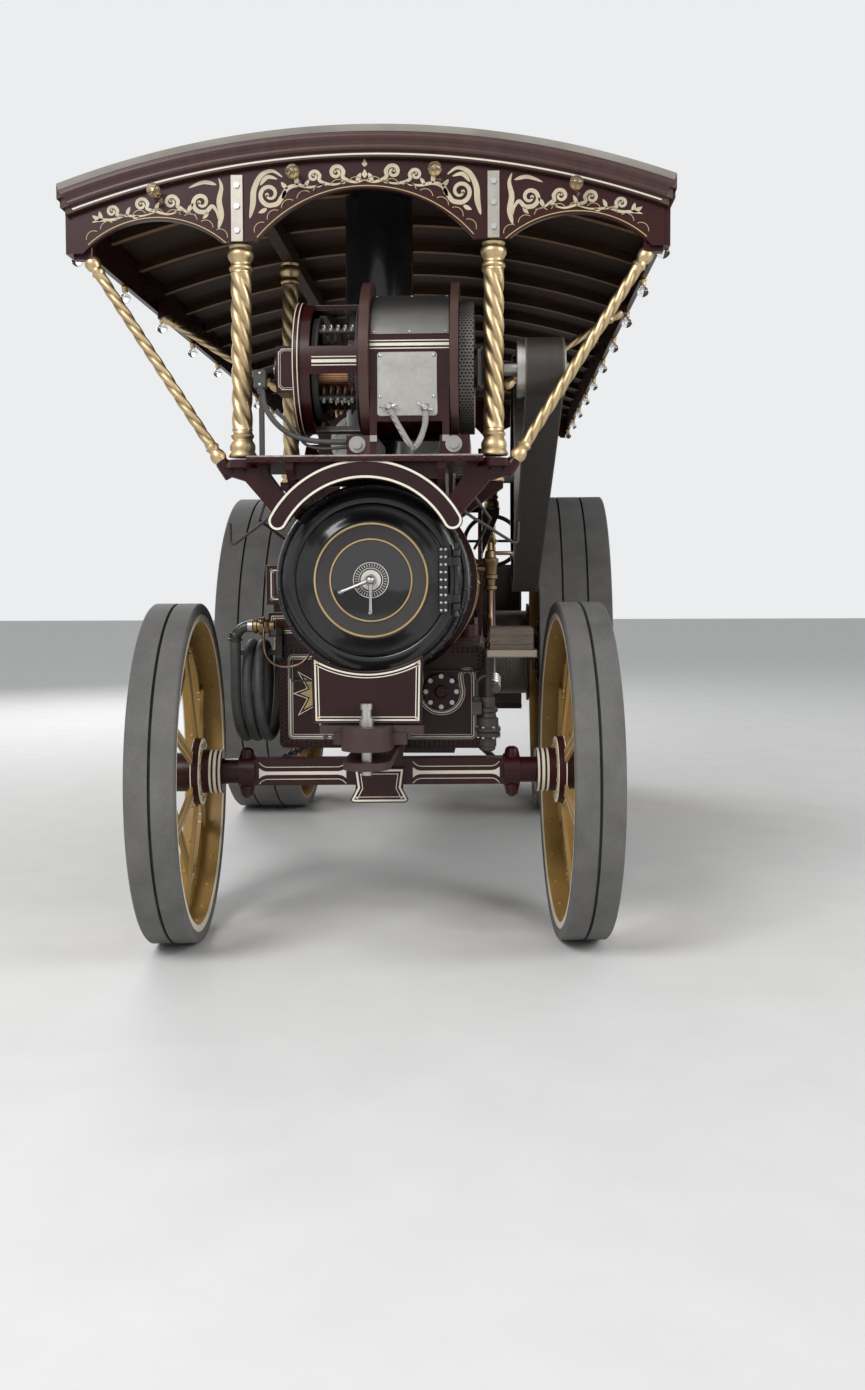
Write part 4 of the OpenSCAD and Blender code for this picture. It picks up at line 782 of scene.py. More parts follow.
# Smokebox door: pressed plate with a dished middle, hung by a studded strap at its nearside edge.
door_profile = mm((-326.3, 0), (-326.3, 298), (-332, 303), (-338, 303), (-344, 298), (-346, 286),
    (-347, 272), (-353, 252), (-358.5, 240), (-362, 228), (-362.5, 0))
door = turned([(-a, r) for a, r in door_profile], box_centre, AHEAD, 96)
strap_face = Face((0, at(-0.347), boiler_z))
strap = strap_face.slab(panel((0.266, -0.132), (0.303, 0.132), 0.006), 0.01)
door_parts = [door, strap]
for low, high in ((-0.091, -0.055), (0.055, 0.091)):
    door_parts.append(turned([(low, 0.013), (low + 0.003, 0.016), (high - 0.003, 0.016), (high, 0.013)],
        (pin_x, at(pin_y), boiler_z), UP, 24))
    door_parts.append(Face((0, at(pin_y + 0.006), boiler_z)).slab(panel((0.268, low), (pin_x, high)),
        0.014))
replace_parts(add("smokebox_door_plate", door_parts, glossy, 35, body="smokebox_door"), "smokebox_door")
steel = Finish("bright_steel", (0.6, 0.6, 0.61), 0.3, 1.0, slot="bright_steel")
steel.mottle((20, 6), ((0.66, 0.66, 0.67), (0.34, 0.33, 0.32)), (0.2, 0.3))
heads("door_strap_studs", [((x, at(-0.357), boiler_z + z), AHEAD) for z in np.linspace(-0.12, 0.12, 9)
    for x in (0.2755, 0.2935)], 0.0062, steel, body="smokebox_door")

# Door fittings: a blank ring with brass edges, a black glass-smooth middle, a small dial behind the
# handles' boss and the two steel handles of the door's dart.
brass = Finish("polished_brass", brass_bright, 0.3, 1.0, slot="brass")
brass.mottle((6, 6), (brass_bright, brass_dull), (0.2, 0.22), (1.5, 0.3))
brass.bump((90, 3), 0.0004, 0.3)
door_centre = Vector((0, at(-0.3625), boiler_z))
fitting_rings = [turned([(0, low), (0.01, low + 0.0015), (0.01, high - 0.0015), (0, high)], door_centre,
    AHEAD, 96, True) for low, high in ((0.2175, 0.2275), (0.1565, 0.1655))]
add("door_plate_rims", fitting_rings, brass, 35, body="smokebox_door")
field = Finish("door_plate_field", (0.03, 0.03, 0.03), 0.4, slot="black_paint")
field.bump(field.mottle((220, 2), ((0.016, 0.014, 0.014), (0.06, 0.052, 0.05)), (0.35, 0.2)), 0.0008, 0.8)
add("door_plate_field", turned(mm((-1, 164), (4, 164), (4, 219), (-1, 219)), door_centre, AHEAD, 96, True),
    field, body="smokebox_door")
mirror = Finish("door_middle_black", (0.006, 0.006, 0.007), 0.05, slot="black_paint")
mirror.paint(rough=0.03 + mirror.noise(4, 4) * 0.07, coat=1.0)
add("door_middle", turned(mm((-1, 0), (-1, 158), (3, 156), (5, 120), (6, 0)), door_centre, AHEAD, 96),
    mirror, body="smokebox_door")
dial = Finish("dial_face", (0.6, 0.58, 0.52), 0.4, slot="plate_paint")
reach = dial.x.reach(dial.z - boiler_z)
angle = dial.x.math("ARCTAN2", dial.z - boiler_z)
ticks = ((angle * (36 / (2 * pi))) % 1.0).within(0.35, 0.65) * reach.within(0.052, 0.064)
pale_part = (reach.below(0.04) + reach.within(0.0675, 0.0705) + reach.within(0.046, 0.0485) + ticks
    * 0.7).held()
dial.paint(colour=dial.blend(pale_part, (0.02, 0.018, 0.018), (0.7, 0.68, 0.62)),
    rough=0.25 + dial.noise(50) * 0.2)
add("door_dial", turned(mm((4, 72), (12, 72), (14, 70), (14, 0)), door_centre, AHEAD, 64), dial,
    body="smokebox_door")
handle_parts = [turned(mm((10, 22), (20, 24), (30, 18), (52, 17), (60, 12), (64, 0)), door_centre, AHEAD,
    32)]
for degrees, depth, length in ((-158, 0.044, 0.128), (-90, 0.034, 0.13)):
    way = outward(degrees)
    root = door_centre + AHEAD * depth
    path = [root + way * s for s in (0.0, 0.014, 0.05, 0.1, length - 0.006, length, length + 0.004)]
    handle_parts.append(pipe(path, [0.013, 0.01, 0.0065, 0.0062, 0.0085, 0.0075, 0.003], 14))
    knob = root + way * (length - 0.002)
    handle_parts.append(turned(mm((-4, 7), (10, 5.5), (26, 8), (30, 5)), knob, AHEAD, 16))
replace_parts(add("door_handles", handle_parts, steel, 40, body="smokebox_door"), "door_fittings")

# Chimney: rolled plate on a cast saddle, painted as the smokebox is, with a flared cap above the roof.
finish_node("chimney", glossy)

# Towing jaw: an iron casting on the front of the perch bracket, with a loose steel pin dropped through it.
iron = Finish("greased_iron", (0.05, 0.045, 0.042), 0.5, slot="dark_iron")
iron.mottle((12, 6), ((0.022, 0.02, 0.02), (0.09, 0.08, 0.072)), (0.32, 0.35), metal=0.35)
iron.bump((120, 4), 0.001, 0.6)
jaw_y = -0.592
jaw = Finish("jaw_casting", lake_dark, 0.4)
from_pin = jaw.x.reach(jaw.y - at(jaw_y))
pin_part = (from_pin.below(0.0202) + from_pin.below(0.03) * jaw.z.above(0.9585)).held()
rubbed = jaw.noise(9, 6)
jaw.paint(colour=jaw.blend(pin_part, jaw.blend(rubbed, (0.02, 0.006, 0.006), (0.075, 0.04, 0.034)),
    jaw.blend(rubbed, (0.66, 0.65, 0.63), (0.36, 0.34, 0.32))), metal=pin_part, rough=0.34 + rubbed * 0.25
    - pin_part * 0.1)
jaw.bump((80, 4), 0.001, 0.5)
finish_node("towing_jaw", jaw)
heads("jaw_bolts", [((x, at(-0.5605), z), AHEAD) for x in (-0.16, -0.128, 0.128, 0.16)
    for z in (0.914, 0.942)], 0.01, iron, "hex", 0.6)

# Number plate: a sheet dished to clear the smokebox, left blank between a broad cream line and a fine one.
plate_finish = Finish("plate_enamel", lake_dark, 0.3, slot="plate_paint")
plate_finish.mottle((12, 5), ((0.013, 0.0026, 0.0034), (0.03, 0.0065, 0.0068)), (0.25, 0.2), shine=0.3)
finish_node("number_plate", plate_finish)
dish_z, dish_radius = 1.561, 0.4
dish_half = asin(0.21 / dish_radius) * 180 / pi
plate_outline = [(-0.205, 0.968), (0.205, 0.968)] + bow((0, dish_z), dish_radius, 270 + dish_half,
    270 - dish_half, 24)
plate_face = Face((0, at(-0.556), 0))
add("number_plate_lining", plate_face.frame(plate_outline, (0.01, 0.0065), (0.0215, 0.0035)), cream_line,
    None)
rim = []
for first, second in zip(plate_outline, plate_outline[1:] + plate_outline[:1]):
    rim.append(pipe([plate_face.at(*first, 0.001), plate_face.at(*second, 0.001)], 0.0035, 8))
add("number_plate_rim", rim, plate_finish, 40)
heads("number_plate_screws", [(plate_face.at(a, b), AHEAD)
    for a, b in ((-0.186, 0.985), (0.186, 0.985), (-0.19, 1.196), (0.19, 1.196))], 0.006, brass)

# Arched plate: a curved sheet with rounded ends over the smokebox, its field blank inside a cream border.
arch_z, arch_outer, arch_inner, arch_end = 1.551, 0.414, 0.338, 29
lobe = (arch_outer - arch_inner) / 2
arch_middle = (arch_outer + arch_inner) / 2
right_end = (arch_middle * cos(radians(arch_end)), arch_z + arch_middle * sin(radians(arch_end)))
left_end = (-right_end[0], right_end[1])
arch_outline = (bow((0, arch_z), arch_outer, arch_end, 180 - arch_end, 56)
    + bow(left_end, lobe, 180 - arch_end, 360 - arch_end, 12)[1:-1] + bow((0, arch_z), arch_inner,
    180 - arch_end, arch_end, 56) + bow(right_end, lobe, 180 + arch_end, 360 + arch_end, 12)[1:-1])
arch_face = Face((0, at(-0.602), 0))
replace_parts(add("arched_plate_sheet", arch_face.slab(arch_outline, 0.012), plate_finish), "arched_plate")
arch_front = Face((0, at(-0.614), 0))
add("arched_plate_lining", arch_front.frame(arch_outline, (0.008, 0.0085)), cream_line, None)

# Dynamo platform: a plated bracket bolted round the smokebox, with a worn bright edge along its front and
# two arms that carry the pillars' feet.
platform_z = 1.978
platform_face = Face((0, at(-0.62), 0))
edge_paint = Finish("worn_edge", (0.4, 0.37, 0.33), 0.45, slot="bright_steel")
edge_paint.paint(colour=edge_paint.blend((edge_paint.noise(30, 5) * 1.6 - 0.4).held(), (0.46, 0.43, 0.38),
    (0.1, 0.05, 0.045)))
add("platform_edge", platform_face.line([(-0.443, platform_z - 0.003), (0.443, platform_z - 0.003)], 0.006,
    False), edge_paint, None)
platform_bolts = [((x, at(-0.6205), platform_z - 0.014), AHEAD) for x in np.linspace(-0.42, 0.42, 15)]
platform_bolts += [((side * x, at(-0.5125), z), AHEAD) for side in (-1, 1)
    for x, z in ((0.3, 1.742), (0.345, 1.788), (0.47, 1.93), (0.52, 1.93))]
heads("platform_rivets", platform_bolts, 0.0075, lake)


def twisted(start, end, radius, pitch, strands, fluting=0.24, per_strand=8, per_turn=28, ease=0.02):
    """A bar of strands twisted together, each a shallow round with a fine raised bead along its edge."""
    start, end = Vector(start), Vector(end)
    axis = (end - start).normalized()
    u = axis.cross(-AHEAD).normalized()
    v = axis.cross(u)
    length = (end - start).length
    count = strands * per_strand
    rows = max(2, int(length / pitch * per_turn))
    verts = []
    for j in range(rows + 1):
        s = length * j / rows
        blend = min(1.0, s / ease, (length - s) / ease)
        turn = -2 * pi * s / pitch
        for k in range(count):
            share = (k % per_strand) / per_strand
            shape = sin(pi * share) ** 0.8
            bead = 0.05 * exp(-((min(share, 1 - share) / 0.05) ** 2))
            reach = radius * (1 - fluting * (1 - shape) * blend + bead * blend)
            angle = 2 * pi * k / count + turn
            verts.append(start + axis * s + reach * (cos(angle) * u + sin(angle) * v))
    return verts, skin(rows + 1, count)


# Pillars: satin brass tube twisted in four strands between a turned foot and a bulbed capital, with a plain
# post up to the bearer. The two behind the platform stand on brackets, and the last two on the tender.
satin = Finish("satin_brass", brass_bright, 0.4, 1.0, slot="brass")
patina = satin.noise(5, 6)
streak = satin.noise(3, 5, stretch=(30, 30, 2))
pillar_reach = (satin.x.size() - 0.484) ** 2
rows = [((satin.y - y) ** 2) for y in (at(-0.47), at(0.8), at(3.0), rear_y + 1.61)]
pillar_reach = (pillar_reach + rows[0].lower(rows[1]).lower(rows[2]).lower(rows[3])) ** 0.5
stay_reach = [(satin.y - y).reach((satin.x.size() - x) * up - (satin.z - z) * out)
    for y, x, z, out, up in ((at(-0.479), 0.563, 1.966, 0.5421, 0.8403),
    (at(0.8), 0.537, 2.44, 0.8484, 0.5293))]
grime = (1 - pillar_reach.rise(0.0305, 0.0365)) + (1 - stay_reach[0].rise(0.017, 0.0205)) + (1
    - stay_reach[1].rise(0.0142, 0.017))
satin_tone = satin.blend((patina * 0.9 + streak * 0.6 - 0.3).held(), (0.74, 0.57, 0.33), (0.36, 0.26, 0.14))
satin.paint(colour=satin.blend((grime.held() * 0.9).held(), satin_tone, (0.06, 0.04, 0.022)),
    rough=0.3 + patina * 0.22 + grime.held() * 0.2)
satin.bump((70, 4), 0.0006, 0.4)
FOOT = mm((0, 52), (6, 55), (14, 52), (22, 47), (34, 49.5), (48, 48.5), (60, 42), (67, 38), (73, 41),
    (79, 44.5), (85, 44.5), (90, 40), (97, 38), (105, 36))
CAPITAL = mm((-108, 36), (-104, 39), (-98, 38.5), (-94, 43), (-87, 45), (-80, 43), (-76, 38.5), (-68, 37),
    (-60, 40.5), (-48, 48), (-36, 51), (-26, 49), (-18, 42), (-13, 39), (-9, 42), (-3, 44), (0, 42))
pillar_x, pillar_radius, twist_pitch = 0.484, 0.04, 0.335
fascia_low = 2.792
pillar_low = platform_z + 0.008


def pillar(x, y, low, high):
    return join([turned(FOOT, (x, y, low), UP, 32), turned(CAPITAL, (x, y, high), UP, 32),
        twisted((x, y, high - 0.106), (x, y, low + 0.103), pillar_radius, twist_pitch, 4)])


front_pillar_parts = []
rise, half_width, eaves, roof_thick = 0.2, 1.161, 2.962, 0.042
roof_radius = (half_width ** 2 + rise ** 2) / (2 * rise)
roof_axis_z = eaves + roof_thick + rise - roof_radius


def under_roof(x):
    """The height of the boards' underside at a distance from the middle."""
    return roof_axis_z + sqrt((roof_radius - roof_thick) ** 2 - x * x)


bearer_z = under_roof(pillar_x) - 0.0925
for side in (-1, 1):
    front_pillar_parts.append(pillar(side * pillar_x, at(-0.47), pillar_low, fascia_low - 0.0005))
    front_pillar_parts.append(turned([(0, 0.024), (bearer_z - fascia_low + 0.002, 0.024)],
        (side * pillar_x, at(-0.47), fascia_low - 0.002), UP, 24))
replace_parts(add("twisted_front_pillars", front_pillar_parts, satin, 40), "front_pillars")
rear_pillar_parts, bracket_parts = [], []
tender_y = rear_y + 1.65
for side in (-1, 1):
    for y, low in ((at(0.8), 1.99), (at(3.0), 1.99), (tender_y - 0.04, 1.66)):
        rear_pillar_parts.append(pillar(side * pillar_x, y, low, bearer_z))
    high_x = pillar_x + 0.05
    for y, outline in ((0.836, [(0.3, 1.792), (high_x, 1.962), (high_x, 1.99), (pillar_x - 0.06, 1.99),
            (0.33, 1.832)]), (3.036, [(0.4255, 1.7), (high_x, 1.962), (high_x, 1.99), (0.4255, 1.99)])):
        bracket = Face((0, at(y), 0)).slab(outline, 0.072, 0.004)
        bracket_parts.append(moved(bracket, Matrix.Diagonal((side, 1, 1, 1))))
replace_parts(add("twisted_rear_pillars", rear_pillar_parts, satin, 40), "rear_pillars")
add("pillar_brackets", bracket_parts, lake)

# Stays: slimmer three-strand bars that slope from the pillars out to the canopy's sides, with turned ends.
stay_parts, lug_parts = [], []


def stay(start, end, radius):
    start, end = Vector(start), Vector(end)
    way = (end - start).normalized()
    knob = mm((0, 12), (4, 24), (22, 31), (40, 28), (52, 21), (60, 23), (68, 28), (76, 23), (84, 20))
    knob = [(a, r * radius / 0.022) for a, r in knob]
    return join([turned(knob, start, way, 24), turned(knob, end, -way, 24),
        twisted(end - way * 0.08, start + way * 0.08, radius, 0.215, 3, 0.22, 7, 22)])


for side in (-1, 1):
    stay_parts.append(stay((side * 0.563, at(-0.479), 1.966), (side * 1.07, at(-0.479), 2.752), 0.022))
    stay_parts.append(stay((side * (pillar_x + pillar_radius + 0.013), at(0.8), 2.44),
        (side * 1.098, at(0.8), 2.79), 0.018))
    for y, low, high in ((-0.4657, (1.048, 2.74), (1.1215, 2.8)), (0.82, (1.082, 2.78), (1.1215, 2.87))):
        lug = Face((0, at(y), 0)).slab(panel(low, high), 0.044 if y < 0 else 0.04, 0.004)
        lug_parts.append(moved(lug, Matrix.Diagonal((side, 1, 1, 1))))
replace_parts(add("twisted_stays", stay_parts, satin, 40), "canopy_stays")
add("stay_lugs", lug_parts, lake)

# Canopy roof: tongued boards under painted canvas, gone pale with weather on top and varnished brown below,
# with a moulded cornice at both ends.
canopy_front = at(-0.578)
canopy_back = rear_y + 2.26
roof = Finish("roof_boards", (0.5, 0.48, 0.43), 0.8)
_, along_normal, up_normal = roof.split(roof.add("ShaderNodeNewGeometry", out="Normal"))
upward_part = up_normal.rise(0.25, 0.35)
endward = along_normal.size().rise(0.6, 0.7)
stain = roof.noise(1.6, 7)
fine = roof.noise(60, 4)
board = (roof.y * (1 / 0.115)) % 1.0
gap = (board.below(0.035) + board.above(0.965)).held()
plank = roof.add("ShaderNodeTexWhiteNoise", {"noise_dimensions": "1D"},
    {"W": (roof.y * (1 / 0.115)).math("FLOOR")}, "Value")
grain_lines = roof.noise(6, 6, stretch=(1.2, 22, 22))
canvas = roof.blend((stain * 1.5 - 0.3).held(), (0.52, 0.5, 0.45), (0.27, 0.26, 0.235))
wood = roof.blend((grain_lines * 0.8 + plank * 0.5 - 0.2).held(), (0.02, 0.009, 0.005),
    (0.055, 0.027, 0.013))
wood = roof.blend(gap, wood, (0.004, 0.003, 0.002))
edge = roof.blend((stain * 1.2 - 0.1).held(), (0.115, 0.075, 0.06), (0.05, 0.028, 0.022))
colour = roof.blend(upward_part, roof.blend(endward, wood, edge), canvas)
roof.paint(colour=colour, rough=0.6 + upward_part * 0.22 + fine * 0.12, shine=0.25)
roof.bump(fine * 0.6 + gap * -1.2 * (1 - upward_part), 0.0015, 0.6)
finish_node("canopy_roof", roof)

# Cornice: a run mould along both ends of the roof, pale where the canvas turns over it, lake below, with
# one fine bright line along its lowest fillet.
cornice = Finish("cornice_paint", lake_dark, 0.35, slot="roof_board")
from_axis = cornice.x.reach(cornice.z - roof_axis_z) - roof_radius
weather = cornice.noise(4, 6)
wet = cornice.noise(2, 6, stretch=(14, 1, 3))
turned_over = cornice.blend((weather * 1.4 - 0.2).held(), (0.36, 0.34, 0.3), (0.17, 0.155, 0.135))
moulding = cornice.blend((wet * 1.3 - 0.3).held(), (0.07, 0.03, 0.026), (0.036, 0.012, 0.011))
moulding = cornice.blend(from_axis.below(-0.086), moulding, cornice.blend(weather, lake_dark, lake_light))
moulding = cornice.blend(from_axis.within(-0.1045, -0.0985), moulding, cream)
cornice.paint(colour=cornice.blend(from_axis.above(-0.0245), moulding, turned_over),
    rough=0.32 + weather * 0.2 + from_axis.above(-0.0245) * 0.3)
CORNICE = mm((40, 2), (0, 2), (-3, -1), (-3, -23), (-1, -26), (-1, -30), (-4, -34), (-5.5, -40), (-4, -46),
    (-1, -52.5), (3, -56), (7, -61), (8.5, -68), (6, -72), (5, -77), (6, -82), (9, -88.5), (14, -91),
    (18.5, -95), (18.5, -112), (40, -112))
end_angle = asin(half_width / roof_radius) * 180 / pi


def roof_moulding(end_y, inward):
    """The cornice's section swept along the roof's curve."""
    steps, verts = 72, []
    for i in range(steps + 1):
        angle = radians(90 + end_angle - 2 * end_angle * i / steps)
        for depth, drop in CORNICE:
            narrow = 1 + min(0.0, drop + 0.03) * 0.25
            reach = roof_radius + drop
            verts.append(Vector((reach * cos(angle) * narrow, end_y + inward * depth,
                roof_axis_z + sqrt(reach ** 2 - (reach * cos(angle) * narrow) ** 2))))
    return verts, [face[::inward] for face in skin(steps + 1, len(CORNICE))]


add("canopy_cornice", [roof_moulding(canopy_front, 1), roof_moulding(canopy_back, -1)], cornice, 40)

# Ribs and bearers: bent ash, varnished. Their light and shade is painted: a painted highlight on the ribs'
# downward faces, and painted shade on all other faces and on the bearers.
varnish = Finish("varnished_ash", (0.22, 0.11, 0.045), 0.35)
ring = varnish.noise(5, 6, stretch=(1.0, 12, 12))
down_facing = varnish.split(varnish.add("ShaderNodeNewGeometry", out="Normal"))[2].below(-0.7)
painted_lit_edge = down_facing * (1 - varnish.x.size().within(0.43, 0.54))
# Two tones of one varnish by the way a face points: painted shade on the sides, painted highlight below.
painted_shade_tone = varnish.blend((ring * 1.4 - 0.2).held(), (0.05, 0.025, 0.012), (0.02, 0.01, 0.005))
painted_highlight_tone = varnish.blend((ring * 1.4 - 0.2).held(), (0.26, 0.15, 0.075), (0.12, 0.062, 0.028))
varnish.paint(colour=varnish.blend(painted_lit_edge, painted_shade_tone, painted_highlight_tone), rough=0.5 + ring * 0.2, shine=0.2)
varnish.bump(ring, 0.0008, 0.4)
finish_node("canopy_ribs", varnish)

# Fascias: arched boards in lake across both ends, held by pale iron straps with square bolts, with scrolled
# leaf work in straw and cream and a scalloped line along each arch.
fascia = Finish("fascia_lake", lake_dark, 0.3)
haze = fascia.noise(2.2, 6)
strap_part = ((fascia.x.size() - pillar_x).size().below(0.0222) * (fascia.y.below(canopy_front + 0.0435)
    + fascia.y.above(canopy_back - 0.0435)).held())
grey = fascia.blend(fascia.noise(24, 5), (0.5, 0.47, 0.41), (0.3, 0.27, 0.23))
fascia.paint(colour=fascia.blend(strap_part, fascia.blend(haze, lake_dark, lake_light), grey),
    metal=strap_part * 0.8, rough=0.18 + haze * 0.2 + strap_part * 0.12, shine=0.3)
finish_node("canopy_fascias", fascia)


def curl(centre, radius, start, turns, hand):
    """A volute from its outer end inwards."""
    points = []
    steps = max(8, int(turns * 26))
    for i in range(steps + 1):
        share = i / steps
        reach = radius * (1 - 0.8 * share ** 0.85)
        angle = radians(start + hand * 360 * turns * share)
        points.append((centre[0] + reach * cos(angle), centre[1] + reach * sin(angle)))
    return points


def flowing(points, per_span=7):
    """A smooth curve through points."""
    padded = [points[0]] + list(points) + [points[-1]]
    result = []
    for i in range(1, len(padded) - 2):
        p0, p1, p2, p3 = (Vector(p) for p in padded[i - 1:i + 3])
        for k in range(per_span):
            t = k / per_span
            result.append(0.5 * ((2 * p1) + (p2 - p0) * t + (2 * p0 - 5 * p1 + 4 * p2 - p3) * t * t
                + (3 * p1 - p0 - 3 * p2 + p3) * t ** 3))
    return [tuple(p) for p in result] + [tuple(points[-1])]


class Scroll:
    """Brush strokes of leaf work on one half of a face, each thin at its ends and broad between."""

    def __init__(self, face, flip):
        self.face, self.flip, self.weight = face, flip, 1.75
        self.parts = []

    def stroke(self, points, width, start, swell, end=0.1):
        count = len(points)
        widths = []
        for i in range(count):
            share = i / (count - 1)
            low = start if share < swell else end
            away = abs(share - swell) / (swell if share < swell else 1 - swell)
            widths.append(width * self.weight * (low + (1 - low) * (1 - away ** 2)))
        points = [(a * self.flip, b) for a, b in points]
        self.parts.append(self.face.line(points, widths, False))

    def tip(self, centre, radius):
        self.parts.append(self.face.fill(bow((centre[0] * self.flip, centre[1]), radius, 0, 360 - 36, 9)))

    def volute(self, stem, centre, radius, start, turns, hand, width):
        spiral = curl(centre, radius, start, turns, hand)
        path = flowing(stem + [spiral[0], spiral[3], spiral[6]])
        self.stroke(path + spiral[7:], width, 0.15, 0.42, 0.4)
        self.tip(spiral[-1], width * 0.75)

    def leaf(self, root, way, length, width):
        """A short pointed leaf that bends to one side."""
        along = Vector((cos(radians(way)), sin(radians(way))))
        side = Vector((-along.y, along.x))
        bend = [tuple(Vector(root) + along * length * s + side * length * 0.22 * s * s)
            for s in np.linspace(0, 1, 9)]
        self.stroke(bend, width, 0.3, 0.45, 0.05)


def leaf_work(face, flip):
    """Half of the fascia's pattern, from the middle of the roof to its eaves."""
    work = Scroll(face, flip)
    work.volute(mm((0, 3014), (30, 3006), (60, 3012)), (0.107, 3.043), 0.03, 215, 1.45, -1, 0.0085)
    work.volute(mm((66, 3011), (110, 2999), (150, 3004)), (0.192, 3.03), 0.025, 215, 1.35, -1, 0.0075)
    work.volute(mm((150, 3003), (205, 2990), (255, 2998), (292, 2986)), (0.36, 2.966), 0.05, 188, 1.45, 1,
        0.01)
    work.stroke(flowing(mm((312, 3030), (350, 3053), (392, 3036), (419, 2985), (424, 2930), (436, 2878))),
        0.0125, 0.2, 0.75)
    work.stroke(flowing(mm((330, 3022), (368, 3030), (396, 3000))), 0.009, 0.1, 0.6)
    for root, way, length, width in (((0.028, 3.006), 100, 0.036, 0.01), ((0.255, 2.998), 75, 0.04, 0.01),
            ((0.292, 2.986), 35, 0.034, 0.009), ((0.16, 3.003), -40, 0.026, 0.007),
            ((0.07, 3.011), -30, 0.024, 0.007), ((0.3, 2.98), -80, 0.034, 0.009),
            ((0.372, 2.914), -40, 0.034, 0.009), ((0.225, 2.992), 110, 0.03, 0.008)):
        work.leaf(root, way, length, width)
    work.volute([(0.556, 2.874), (0.562, 2.905)], (0.62, 2.94), 0.043, 200, 1.45, 1, 0.0095)
    work.stroke(flowing(mm((556, 2840), (545, 2890), (552, 2945), (543, 2995), (553, 3030))), 0.0125, 0.1,
        0.3)
    work.stroke(flowing(mm((562, 3005), (610, 3015), (668, 2995))), 0.0085, 0.15, 0.4)
    work.volute(mm((640, 2893), (672, 2903), (700, 2922)), (0.735, 2.943), 0.029, 215, 1.4, -1, 0.008)
    work.volute(mm((690, 2914), (745, 2898), (795, 2910)), (0.85, 2.936), 0.028, 215, 1.4, -1, 0.0075)
    work.volute(mm((790, 2908), (850, 2893), (915, 2896)), (0.962, 2.912), 0.024, 215, 1.35, -1, 0.007)
    work.stroke(flowing(mm((915, 2894), (965, 2880), (1005, 2880), (1040, 2872))), 0.007, 0.3, 0.5)
    for root, way, length, width in (((0.672, 2.903), 110, 0.04, 0.009), ((0.795, 2.91), 100, 0.036, 0.008),
            ((0.905, 2.896), 100, 0.034, 0.008), ((1.0, 2.88), 60, 0.034, 0.009),
            ((1.004, 2.88), 15, 0.038, 0.009), ((0.7, 2.916), -35, 0.026, 0.007),
            ((0.86, 2.893), -30, 0.024, 0.006), ((0.595, 2.902), -60, 0.03, 0.008)):
        work.leaf(root, way, length, width)
    return join(work.parts)


def scallops(face, centre, radius, first, steps, count, half, size):
    """A line along an arch from an angle to its mirror, with a row of small arcs that spring from it."""
    lines = [face.line(bow(centre, radius + 0.009, first, 180 - first, steps), 0.0035, False)]
    for i in range(count):
        middle = first + (180 - 2 * first) * i / count + half
        spot = bow(centre, radius + 0.013, middle, middle, 1)[0]
        lines.append(face.line(bow(spot, size, middle - 62, middle + 62, 8), 0.0025, False))
    return lines


leaf_paint = Finish("leaf_paint", (0.52, 0.45, 0.32), 0.4, slot="straw_paint")
leaf_paint.paint(colour=leaf_paint.blend(leaf_paint.noise(14, 5), (0.66, 0.58, 0.42), (0.4, 0.34, 0.23)))
scrolls, arch_lines = [], []
front_fascia = Face((0, canopy_front + 0.044, 0))
back_fascia = Face((0, canopy_back - 0.044, 0), (-1, 0, 0))
for face in (front_fascia, back_fascia):
    for flip in (1, -1):
        scrolls.append(leaf_work(face, flip))
        arch_lines += scallops(face, (flip * 0.792, 2.4848), 0.3932, 49, 40, 9, 4.55, 0.029)
    scrolls.append(face.fill(mm((0, 3062), (11, 3072), (0, 3092), (-11, 3072))))
    scrolls.append(face.fill(mm((0, 3020), (12, 3034), (0, 3054), (-12, 3034))))
    arch_lines += scallops(face, (0, 2.4503), 0.5337, 41, 72, 14, 3.5, 0.03)
add("fascia_leaf_work", scrolls, leaf_paint, None)
add("fascia_arch_lines", arch_lines, straw_line, None)
strap_bolts = []
for side in (-1, 1):
    for z in (2.832, 2.922, 3.0):
        strap_bolts.append(((side * pillar_x, canopy_front + 0.036, z), AHEAD))
        strap_bolts.append(((side * pillar_x, canopy_back - 0.036, z), -AHEAD))
heads("strap_bolts", strap_bolts, 0.012, steel, "hex", 0.45)

# Valances: deep boards along both sides under the eaves, lined in panels with scooped corners.
valance_out = 1.1443
side_lines = []
panel_count = 6
valance_length = canopy_back - canopy_front - 0.26
for side in (-1, 1):
    face = flank(side, valance_out, canopy_front + 0.13 if side > 0 else canopy_back - 0.13)
    for i in range(panel_count):
        low = valance_length * i / panel_count + 0.015
        high = valance_length * (i + 1) / panel_count - 0.015
        outline = panel((low, 2.82), (high, 2.917), 0.016, True)
        side_lines.append(face.frame(outline, (0.004, 0.004), (0.0125, 0.0018)))
    eaves_face = flank(side, half_width, canopy_front + 0.05 if side > 0 else canopy_back - 0.05)
    side_lines.append(eaves_face.line([(0, 2.938), (valance_length + 0.16, 2.938)], 0.004, False))
add("valance_lining", side_lines, cream_line, None)

# Lamps: clear bulbs in brass holders, ten hung under each side and four on the front board, with their
# wires inside.
glass = Finish("lamp_glass", (0.95, 0.95, 0.93), 0.03, slot="lamp_glass")
glass.paint(through=1.0, ior=1.45, rough=0.02)
filament = Finish("lamp_wire", (0.3, 0.26, 0.2), 0.4, 0.6, slot="bright_steel")
filament.paint(rough=0.3 + filament.noise(200) * 0.3)
lamp_spots = []
for side in (-1, 1):
    for i in range(10):
        y = canopy_front + 0.165 + i * (canopy_back - canopy_front - 0.33) / 9
        lamp_spots.append((Vector((side * 1.133, y, 2.8117)), -UP))
for x, z in ((-0.79, 2.974), (-0.266, 3.034), (0.266, 3.034), (0.79, 2.974)):
    lamp_spots.append((Vector((x, canopy_front + 0.0437, z)), AHEAD))
holder = mm((0, 15.5), (4, 16.5), (10, 13), (20, 13.5), (26, 12.5), (28, 6))
bulb = mm((24, 9.5), (30, 11.5), (36, 17.5), (43, 23), (51, 26.2), (59, 25.5), (67, 20.5), (73, 12.5),
    (76.5, 4), (77, 0))
